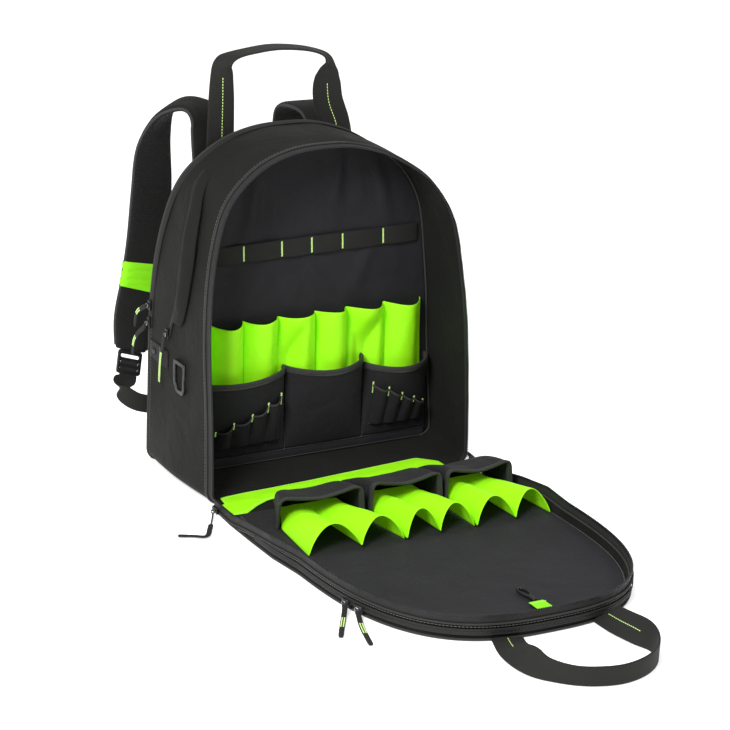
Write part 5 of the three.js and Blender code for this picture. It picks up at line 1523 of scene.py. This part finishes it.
def shoulder_strap(side, rows):
    name = "left" if side < 0 else "right"
    runs = squared(strap_frames(rows, side))
    last = len(runs) - 1
    around = STRAP_SIDES

    def at(u, v, grow=0.0):
        p, _, across, up, width = runs[round(v * last)]
        a = 2 * math.pi * u
        c, s = math.cos(a), math.sin(a)
        flat = math.copysign(abs(c) ** STRAP_FLATNESS, c)
        thick = math.copysign(abs(s) ** STRAP_ROUNDNESS, s)
        pad = 1 + 0.12 * arch(abs(flat) * 0.5 + 0.5) * (1 if grow == 0 else 0)
        soft = 0.5 * crumple(p + across * flat * width / 2, 30, 5.0)
        end = 1 - 0.35 * (1 - arch(clamp(v * 6) * 0.5)) * (1 if v < 0.16 else 0)
        return (p + across * flat * (width / 2 + grow)
                + up * (thick * (STRAP_THICK / 2 * pad * end + grow) + soft * abs(thick)))
    mesh = grid_mesh(f"strap_{name}_pad", at, around, last, round_=True, caps=True)
    piece = own(f"strap_{name}_pad", mesh)
    thicken(piece, 0)
    finish_piece(piece, [OUTER, MESH_PAD], f"strap_{name}", "black_cloth")
    for face in piece.data.polygons:
        u = (face.index // last) / around if face.index < around * last else 0.25
        face.material_index = 1 if math.sin(2 * math.pi * (u + 0.5 / around)) * side < -0.3 else 0
    for edge in (-1, 1):
        line = [run.at + run.across * edge * (run.width / 2 + 0.2) for run in runs[2:-1:2]]
        tube(f"strap_{name}_edge_{'a' if edge < 0 else 'b'}", line, 2.2, EDGE, "binding")

    def sleeve(u, v):
        fold = 0.64 * math.sin(v * 19 + 3 * math.sin(u * 12))
        return at(u, lerp(STRAP_BAND_FROM, STRAP_BAND_TO, v), STRAP_BAND_OFF + fold)
    band = grid_mesh(f"strap_{name}_band", sleeve, around, 12, round_=True)
    piece = own(f"strap_{name}_band", band)
    thicken(piece, 1.4, 0.0)
    finish_piece(piece, LIME_BELT, f"strap_band_{name}", "lime_cloth")
    strap_tail(side, name, runs[-1])


def strap_tail(side, name, run):
    """The adjuster at a strap's lower end, and its webbing down to the back."""
    end, along, across = run.at, run.along, run.across
    start = end + along * (LOCK_LENGTH + 2 * GAP)
    ladder_lock(name, end + along * GAP, along, across)
    tail = [strap_point(row, side, WEBBING_THICK / 2 + 0.6) for row in TAIL_ROWS]
    points = [start - along * 22, start, end + along * (LOCK_LENGTH + TAIL_LEAD)] + tail
    frames = []
    steps = 70
    for i in range(steps + 1):
        u = i / steps
        turned = ease(u, 0.28, 0.6)
        frames.append(Band(flow_point(points, u), across.lerp(Vector((0, 0, side)), turned), WEBBING))
    webbing_band(f"strap_{name}_tail", frames, WEBBING_THICK, f"strap_webbing_{name}")


def plate(name, rings, thick, place, material, nodes=(), slot=None, bevel=0.8):
    """A flat plate with holes: its outlines are drawn as a filled curve and then made a mesh."""
    curve = bpy.data.curves.new(name, "CURVE")
    curve.dimensions = "2D"
    curve.fill_mode = "BOTH"
    curve.extrude = max(thick / 2 - bevel, 0.05) * MM
    curve.bevel_depth = bevel * MM
    curve.bevel_resolution = 2
    curve.offset = -bevel * MM
    for ring in rings:
        spline = curve.splines.new("POLY")
        spline.points.add(len(ring) - 1)
        for point, (x, y) in zip(spline.points, ring):
            point.co = (x * MM, y * MM, 0, 1)
        spline.use_cyclic_u = True
    drawn = own(name + "_drawn", curve)
    bpy.context.view_layer.update()
    mesh = bpy.data.meshes.new_from_object(drawn.evaluated_get(bpy.context.evaluated_depsgraph_get()))
    bpy.data.objects.remove(drawn)
    mesh.name = name
    mesh.transform(place)
    bm = bmesh.new()
    bm.from_mesh(mesh)
    bmesh.ops.remove_doubles(bm, verts=bm.verts[:], dist=1e-6)
    bmesh.ops.recalc_face_normals(bm, faces=bm.faces[:])
    bm.to_mesh(mesh)
    bm.free()
    piece = own(name, mesh)
    mesh.materials.clear()
    finish_piece(piece, material, nodes, slot)
    sharp(piece, 35)


def sharp(piece, angle):
    """Shades a piece smooth, apart from its edges past an angle in degrees."""
    bpy.ops.object.select_all(action="DESELECT")
    piece.select_set(True)
    bpy.context.view_layer.objects.active = piece
    bpy.ops.object.shade_smooth_by_angle(angle=math.radians(angle))
    piece.select_set(False)


def basis(x, y, z, origin):
    place = Matrix((Vector(x).normalized(), Vector(y).normalized(), Vector(z).normalized()))
    place = place.transposed().to_4x4()
    place.translation = Vector(origin) * MM
    return place


def rounded(width, height, radius, cx=0.0, cy=0.0, steps=4):
    points = []
    for sx, sy, start in ((1, 1, 0), (-1, 1, 90), (-1, -1, 180), (1, -1, 270)):
        for k in range(steps + 1):
            a = math.radians(start + 90 * k / steps)
            points.append((cx + sx * (width / 2 - radius) + radius * math.cos(a),
                           cy + sy * (height / 2 - radius) + radius * math.sin(a)))
    return points


LockSlot = namedtuple("LockSlot", "at long")
LOCK_SLOTS = (LockSlot(8.5, 5), LockSlot(17.5, 5), LockSlot(26.5, 4.5))


def ladder_lock(name, start, along, across):
    wide = WEBBING + 2 * WEBBING_THICK + 6
    rings = [rounded(wide, LOCK_LENGTH, 4, 0, LOCK_LENGTH / 2)]
    rings += [rounded(WEBBING + 1, slot.long, 2, 0, slot.at) for slot in LOCK_SLOTS]
    place = basis(across, along, across.cross(along), start)
    plate(f"ladder_lock_{name}_plate", rings, LOCK_THICK * 0.55, place, PLASTIC, f"ladder_lock_{name}",
          "plastic", bevel=0.9)


# The pocket on the body's left side: its zip, the hood before it, and the tab with its ring

Back = namedtuple("Back", "back")
SIDE_ZIP_ROWS = [Back(v) for v in (0.102, 0.023, -0.014, -0.028, 0.047, 0.228)]


def side_zip_back(z):
    share = (z - SIDE_ZIP_FROM) / (SIDE_ZIP_TO - SIDE_ZIP_FROM)
    return DEPTH * flowing(SIDE_ZIP_ROWS, "back", share)


def side_zip():
    def line(across, up):
        def at(u):
            z = lerp(SIDE_ZIP_FROM, SIDE_ZIP_TO, u)
            return skin(wall_spot(-1, z), side_zip_back(z) + across, up)
        return at
    flat_zip("side_zip_tape", "side_zip", line, outward, FLAT_ZIP, 70)


FLAP_START = 0.12              # the share of the zip's height that lies below the hood


def hood(u, v):
    """The outline's spot beside a place on the hood, the depth of the hood's edge, and its puff."""
    z = lerp(lerp(SIDE_ZIP_FROM, SIDE_ZIP_TO, FLAP_START), SIDE_ZIP_TO, v)
    puff = FLAP_PUFF * math.sin(math.pi * (0.12 + 0.88 * u)) * math.sin(math.pi * (0.08 + 0.87 * v))
    return wall_spot(-1, z), side_zip_back(z) - FLAT_ZIP / 2, max(puff, 0)


def side_flap():
    def at(u, v):
        spot, edge, puff = hood(u, v)
        p = skin(spot, edge - GAP - FLAP_WIDTH * u, GAP + puff)
        return p + Vector((spot.nx, 0, spot.nz)) * (0.8 * crumple(p, 26, 2.2) * arch(u))
    cloth("side_hood", at, 12, 60, FLAP_CLOTH, OUTER, "side_pocket_flap", "black_cloth", outward)
    lip = []
    for i in range(61):
        spot, edge, puff = hood(0, i / 60)
        lip.append(skin(spot, edge, 1.6 + puff))
    tube("side_hood_edge", lip, 1.6, PIPING, "binding")


TabSeams = namedtuple("TabSeams", "near far")
TAB_SEAMS = TabSeams(5, 36)
TAB_RIVET = 18                 # from the tab's rear end to its rivet
RIVET_DOME = 0.42              # the head's height over its radius
RIVET_CUT = 0.9


def side_tab():
    def at(u, v):
        y = lerp(TAB_BACK, TAB_BACK - TAB_LENGTH, u)
        return skin(wall_spot(-1, TAB_HEIGHT + (v - 0.5) * WEBBING), y, 0.4)
    cloth("side_tab_webbing", at, 20, 6, WEBBING_THICK, BELT, "side_tab", "webbing", outward)
    for back in (TAB_BACK - TAB_SEAMS.near, TAB_BACK - TAB_SEAMS.far):
        line = [skin(wall_spot(-1, TAB_HEIGHT + (k / 4 - 0.5) * (WEBBING - 5)), back, 2.6) for k in range(5)]
        dark_seams.line(line, Vector((-1, 0, 0)), TAB_SEAM)
    seat = skin(wall_spot(-1, TAB_HEIGHT), TAB_BACK - TAB_RIVET, 2 * GAP + WEBBING_THICK + 1)
    bpy.ops.object.select_all(action="DESELECT")
    bpy.ops.mesh.primitive_uv_sphere_add(segments=28, ring_count=14, radius=RIVET / 2 * MM)
    head = bpy.context.object
    bpy.ops.object.mode_set(mode="EDIT")
    bpy.ops.mesh.select_all(action="SELECT")
    bpy.ops.transform.resize(value=(RIVET_DOME, 1, 1))
    bpy.ops.mesh.bisect(plane_co=(RIVET_CUT * MM, 0, 0), plane_no=(1, 0, 0), use_fill=True,
                        clear_outer=True)
    bpy.ops.mesh.select_all(action="SELECT")
    bpy.ops.transform.translate(value=tuple(seat * MM))
    bpy.ops.object.mode_set(mode="OBJECT")
    settle(head, "side_rivet_head", DARK_METAL, "side_rivet", "metal")


def settle(piece, name, material, nodes, slot):
    """A piece made with operators: its place goes into its mesh, and it gets its material."""
    piece.name = name
    piece.data.name = name
    piece.data.transform(piece.matrix_world)
    piece.matrix_world = Matrix()
    piece.data.materials.clear()
    finish_piece(piece, material, nodes, slot)
    sharp(piece, 40)


Corner = namedtuple("Corner", "across up")
RING_CORNERS = (Corner(-1, 1), Corner(-1, -0.5), Corner(-0.45, -1), Corner(0.6, -1), Corner(0.8, -0.8),
                Corner(1, 1))


def side_ring():
    w, h = RING_WIDE / 2, RING_LONG / 2
    corners = [(w * corner.across, h * corner.up) for corner in RING_CORNERS]
    outer = eased(corners, 5)
    inner = eased([(x * (1 - RING_BAR / w), y * (1 - RING_BAR / h)) for x, y in corners], 3)
    seat = skin(wall_spot(-1, RING_HEIGHT - RING_LONG / 2), RING_FRONT, GAP + 0.4)
    seat.z = RING_HEIGHT
    seat.x -= RING_BAR / 4
    plate("side_ring_bar", [outer, inner], RING_BAR / 2, basis((0, -1, 0), (0, 0, 1), (-1, 0, 0), seat),
          DARK_METAL, "side_ring", "metal", bevel=0.9)


def eased(corners, radius, steps=5):
    """A closed outline with its corners rounded."""
    points = []
    count = len(corners)
    for i, corner in enumerate(corners):
        here = Vector((*corner, 0))
        before = Vector((*corners[i - 1], 0)) - here
        after = Vector((*corners[(i + 1) % count], 0)) - here
        reach = min(radius, before.length / 2.1, after.length / 2.1)
        a = here + before.normalized() * reach
        b = here + after.normalized() * reach
        for k in range(steps + 1):
            t = k / steps
            p = a * (1 - t) ** 2 + here * 2 * t * (1 - t) + b * t * t
            points.append((p.x, p.y))
    return points


# The pulls on the zips. turn is the slider's turn about the upright; the places that its cord runs
# through are lengths from the slider, with z above the ground on the lid.

Pull = namedtuple("Pull", "name side lying seat turn dashes cord")
PULLS = (
    Pull("main_pull_left", -1, True, (-202.9, -130, 6), 0, (), (
        (-13, -18, 4), (-31, -48, 2.4), (-47, -71, 2.4), (-63, -63, 2.4), (-80, -54, 2.4))),
    Pull("main_pull_right", 1, True, (202, -120, 6), 0, (), (
        (6, 12, 3.6), (11, 28, 2.4), (13, 48, 2.4), (12, 68, 2.4))),
    Pull("lid_pull_left", -1, True, (-198.8, -491, 12.5), 9, (0.47, 0.72), (
        (-5.4, -8, 9), (-13.4, -21, 4.5), (-23.4, -37, 2.6), (-34.4, -55, 2.4), (-44.4, -72, 2.4))),
    Pull("lid_pull_right", -1, True, (-194.4, -516, 12.5), 13, (0.45, 0.7), (
        (-4.8, -9, 9), (-8.8, -22, 4.5), (-14.8, -41, 2.6), (-20.8, -62, 2.4), (-26.8, -83, 2.4))),
    Pull("rear_pull_upper", -1, False, (-200.8, 84, 228), 0, (0.38, 0.6), (
        (-4.8, 12, -6), (-6.8, 23, -14), (-7.8, 29, -25), (-7.8, 31, -38))),
    Pull("rear_pull_lower", -1, False, (-201.7, 84.5, 204), 0, (0.52, 0.78), (
        (-5, 7.5, -10), (-7, 19.5, -20), (-8, 28.5, -32), (-8, 33.5, -44), (-8, 35.5, -56))),
    Pull("side_pull", -1, False, (-204, 21, 207), 0, (0.42, 0.95), (
        (-4, 4, -15), (-5, 8, -35), (-5, 11, -57), (-4.5, 13, -74))),
)


SLIDER_THICK = 3.2
SLIDER_LONG = 13.5
SLIDER_WIDE = 8.6
SLIDER_WAIST = 0.16
BRIDGE_REACH = 3.4
BRIDGE_BAR = 0.8
BRIDGE_RISE = 1.2
BAIL_WIRE = 0.75
BAIL_STEPS = 24
BAIL_HALF = 2.6
LID_BAIL_END = 0.16            # how far along its cord each bail reaches
BAIL_END = 0.1
CORD_END = 0.34                # and how far the bare cord of the two main pulls does


def slider(spec):
    """A zip's slider: a waisted body with a raised bridge over it."""
    bpy.ops.object.select_all(action="DESELECT")
    bpy.ops.mesh.primitive_cube_add(size=MM)
    body = bpy.context.object
    bpy.ops.object.mode_set(mode="EDIT")
    bpy.ops.mesh.select_all(action="SELECT")
    bpy.ops.transform.resize(value=(SLIDER_THICK, SLIDER_LONG, SLIDER_WIDE))
    bpy.ops.mesh.subdivide(number_cuts=2)
    bpy.ops.object.mode_set(mode="OBJECT")
    for v in body.data.vertices:
        waist = 1 - (abs(v.co.y) / (SLIDER_LONG / 2 * MM)) ** 2
        v.co.z *= 1 - SLIDER_WAIST * waist
    bpy.ops.object.mode_set(mode="EDIT")
    bpy.ops.mesh.select_all(action="SELECT")
    bpy.ops.mesh.bevel(offset=0.5 * MM, segments=2, affect="EDGES")
    bpy.ops.object.mode_set(mode="OBJECT")
    bpy.ops.mesh.primitive_torus_add(major_segments=20, minor_segments=8, major_radius=BRIDGE_REACH * MM,
                                     minor_radius=BRIDGE_BAR * MM)
    bridge = bpy.context.object
    bridge.location.x = spec.side * BRIDGE_RISE * MM
    bpy.ops.object.select_all(action="DESELECT")
    body.select_set(True)
    bridge.select_set(True)
    bpy.context.view_layer.objects.active = body
    bpy.ops.object.join()
    lies = Matrix() if spec.lying else Matrix.Rotation(math.pi / 2, 4, "X")
    place = Matrix.Translation(Vector(spec.seat) * MM) @ Matrix.Rotation(math.radians(spec.turn), 4, "Z")
    body.data.transform(place @ lies)
    settle(body, spec.name + "_slider", DARK_METAL, spec.name, "metal")


def pull(spec):
    """A slider, the wire bail through it, and the tape or cord that hangs from that."""
    slider(spec)
    seat = Vector(spec.seat)
    out = UP if spec.lying else Vector((spec.side, 0, 0))
    rise = 0 if spec.lying else seat.z
    places = [Vector((seat.x + x, seat.y + y, rise + z)) for x, y, z in spec.cord]
    points = [seat + Vector((spec.side * BRIDGE_REACH, 0, 0.4))] + places

    def at(u):
        return flow_point(points, u)

    def way(u):
        return (at(min(u + 0.01, 1)) - at(max(u - 0.01, 0))).normalized()

    def across(u):
        return out.cross(way(u)).normalized()
    bail_end = LID_BAIL_END if spec.name.startswith("lid") else BAIL_END
    bail = []
    for k in range(BAIL_STEPS):
        a = 2 * math.pi * k / BAIL_STEPS
        u = bail_end * (0.5 - 0.62 * math.cos(a))
        on = max(u, 0)
        bail.append(at(on) + across(on) * BAIL_HALF * math.sin(a) + way(on) * min(u, 0) * 90)
    tube(spec.name + "_bail", bail, BAIL_WIRE, METAL, "metal", closed=True)
    begin = bail_end * 0.85
    if spec.name.startswith("main"):
        begin = CORD_END
        cord = [at(lerp(bail_end, begin + 0.06, i / 24)) for i in range(25)]
        tube(spec.name + "_cord", cord, 1.2, EDGE, "webbing")

    def band(u, v):
        s = lerp(begin, 1.0, v)
        a = 2 * math.pi * u
        c, n = math.cos(a), math.sin(a)
        flat = math.copysign(abs(c) ** 0.5, c)
        tip = 1 - 0.25 * ease(v, 0.93, 1.0)
        thick = 1 + 0.35 * (1 - ease(v, 0.18, 0.26)) + 0.25 * ease(v, 0.78, 0.84)
        return at(s) + across(s) * flat * PULL_WIDE / 2 * tip + out * n * PULL_THICK / 2 * thick
    mesh = grid_mesh(spec.name + "_tape", band, 16, 36, round_=True, caps=True)
    finish_piece(own(spec.name + "_tape", mesh), BELT, slot="webbing")
    if spec.dashes:
        low, high = spec.dashes
        for edge in (-1, 1):
            places = [lerp(low, high, i / 12) for i in range(13)]
            line = [at(s) + across(s) * edge * 1.5 + out * 1.45 for s in places]
            lime_seams.line(line, out, PULL_DASHES)


# The key clip in the lid

def key_clip():
    near = LID_BASE - HEIGHT + KEY_TAB_FROM
    rise = LID_FACE + GAP

    def at(u, v):
        y = near + (KEY_TAB_LONG - GAP) * v
        x = KEY_X + (u - 0.5) * KEY_TAB_WIDE
        return Vector((x, y, rise + 0.3 + 0.8 * arch(v) + 0.3 * math.sin(v * 9)))
    cloth("key_tab_webbing", at, 6, 16, WEBBING_THICK - 0.3, LIME_BELT, "key_tab", "lime_cloth", UP)
    for share in (0.1, 0.82):
        row = [at(k / 6, share) + UP * 1.8 for k in range(7)]
        lime_seams.line(row, UP, KEY_SEAM)
    start = near + KEY_TAB_LONG
    half_x, half_y = HOOK_WIDE / 2, HOOK_LONG / 3
    hole_x, hole_y = half_x - HOOK_BAR / 1.6, half_y - HOOK_BAR
    turns = [2 * math.pi * k / 40 for k in range(40)]
    rings = [[(a * math.cos(t), HOOK_LONG * HOOK_MIDDLE + b * math.sin(t)) for t in turns]
             for a, b in ((half_x, half_y), (hole_x, hole_y))]
    place = basis((1, 0, 0), -FORWARD, UP, (KEY_X, start, rise + HOOK_BAR / 2))
    plate("key_hook_ring", rings, HOOK_BAR, place, PLASTIC, "key_hook", "plastic", bevel=1.1)
    barrel = rounded(HOOK_WIDE * BARREL_WIDE, HOOK_LONG * BARREL_LONG, 2.4, 0, HOOK_LONG * BARREL_LONG / 2)
    plate("key_hook_barrel", [barrel], HOOK_BAR * 1.2, place, PLASTIC, slot="plastic", bevel=1.4)


# Everything in its place

for make in (body_gusset, body_trim, main_zip_body, back_panel, divider, rear_zip, loop_strip, pleats,
             pockets):
    make()
tool_slots("tool_slots_left", POCKETS[0], SLOTS_LEFT)
tool_slots("tool_slots_right", POCKETS[2], SLOTS_RIGHT)
for make in (hem_band, lid_gusset, main_zip_lid, lid_pocket_zip, lid_panel, lid_bottom_gusset, lid_organizer,
             lid_pleats, lid_pockets, hinge_strip, top_handle, lid_handle):
    make()
shoulder_strap(-1, STRAP_LEFT_ROWS)
shoulder_strap(1, STRAP_RIGHT_ROWS)
for make in (side_zip, side_flap, side_tab, side_ring):
    make()
for one in PULLS:
    pull(one)
key_clip()
lime_seams.done()
dark_seams.done()


# The floor, the light and the camera

FLOOR_REACH = 9.0              # in metres, as the rest of the studio is
FLOOR_LOW = -0.0006
WORLD_STRENGTH = 0.55
Lamp = namedtuple("Lamp", "name place aim size watts")
LAMPS = (
    Lamp("key", (-2.0, -1.7, 2.2), (0, -0.2, 0.15), 1.1, 105),
    Lamp("fill", (2.2, -1.6, 1.6), (0, -0.1, 0.2), 1.6, 14),
    Lamp("top", (0.2, 0.4, 2.8), (0, -0.2, 0.2), 1.2, 16),
)


def floor():
    mesh = bpy.data.meshes.new("floor")
    corners = [(x * FLOOR_REACH, y * FLOOR_REACH, FLOOR_LOW) for x, y in ((-1, -1), (1, -1), (1, 1), (-1, 1))]
    mesh.from_pydata(corners, [], [(0, 1, 2, 3)])
    ground = own("floor", mesh)
    pale = Finish("pale_floor", roughness=0.95, specular=0.0)
    faint = pale.noise(pale.place(), 3.0, 2.0)
    pale.set("Base Color", pale.blend(faint, (0.93, 0.93, 0.93), (0.94, 0.94, 0.94)))
    pale.set("Emission Color", (1.0, 1.0, 1.0))
    pale.set("Emission Strength", 0.5)
    mesh.materials.append(pale.material)


def world():
    scene_world = bpy.data.worlds.new("studio")
    bpy.context.scene.world = scene_world
    scene_world.use_nodes = True
    back = scene_world.node_tree.nodes["Background"]
    back.inputs["Color"].default_value = (1, 1, 1, 1)
    back.inputs["Strength"].default_value = WORLD_STRENGTH


def area_light(lamp):
    data = bpy.data.lights.new(lamp.name, "AREA")
    data.shape = "DISK"
    data.size = lamp.size
    data.energy = lamp.watts
    light = own(lamp.name, data)
    light.location = lamp.place
    light.rotation_euler = (Vector(lamp.aim) - Vector(lamp.place)).to_track_quat("-Z", "Y").to_euler()


CAMERA_TURN = math.radians(-28.7)
CAMERA_RISE = math.radians(18.9)
CAMERA_ROLL = math.radians(1.4)
CAMERA_DISTANCE = 4291
CAMERA_AIM = Vector((-2.6, -167.5, 192.5))
CAMERA_LENS = 159.5
CAMERA_SENSOR = 36
CAMERA_END = 30                # in metres


def camera():
    back = Vector((math.sin(CAMERA_TURN) * math.cos(CAMERA_RISE),
                   -math.cos(CAMERA_TURN) * math.cos(CAMERA_RISE), math.sin(CAMERA_RISE)))
    level = Vector((math.cos(CAMERA_TURN), math.sin(CAMERA_TURN), 0))
    upright = back.cross(level)
    right = level * math.cos(CAMERA_ROLL) + upright * math.sin(CAMERA_ROLL)
    up = upright * math.cos(CAMERA_ROLL) - level * math.sin(CAMERA_ROLL)
    data = bpy.data.cameras.new("camera")
    data.lens = CAMERA_LENS
    data.sensor_width = CAMERA_SENSOR
    data.clip_end = CAMERA_END
    eye = own("camera", data)
    place = Matrix((right, up, back)).transposed().to_4x4()
    place.translation = (CAMERA_AIM + back * CAMERA_DISTANCE) * MM
    eye.matrix_world = place
    bpy.context.scene.camera = eye


floor()
world()
for one in LAMPS:
    area_light(one)
camera()
bpy.context.scene.view_settings.view_transform = "Standard"
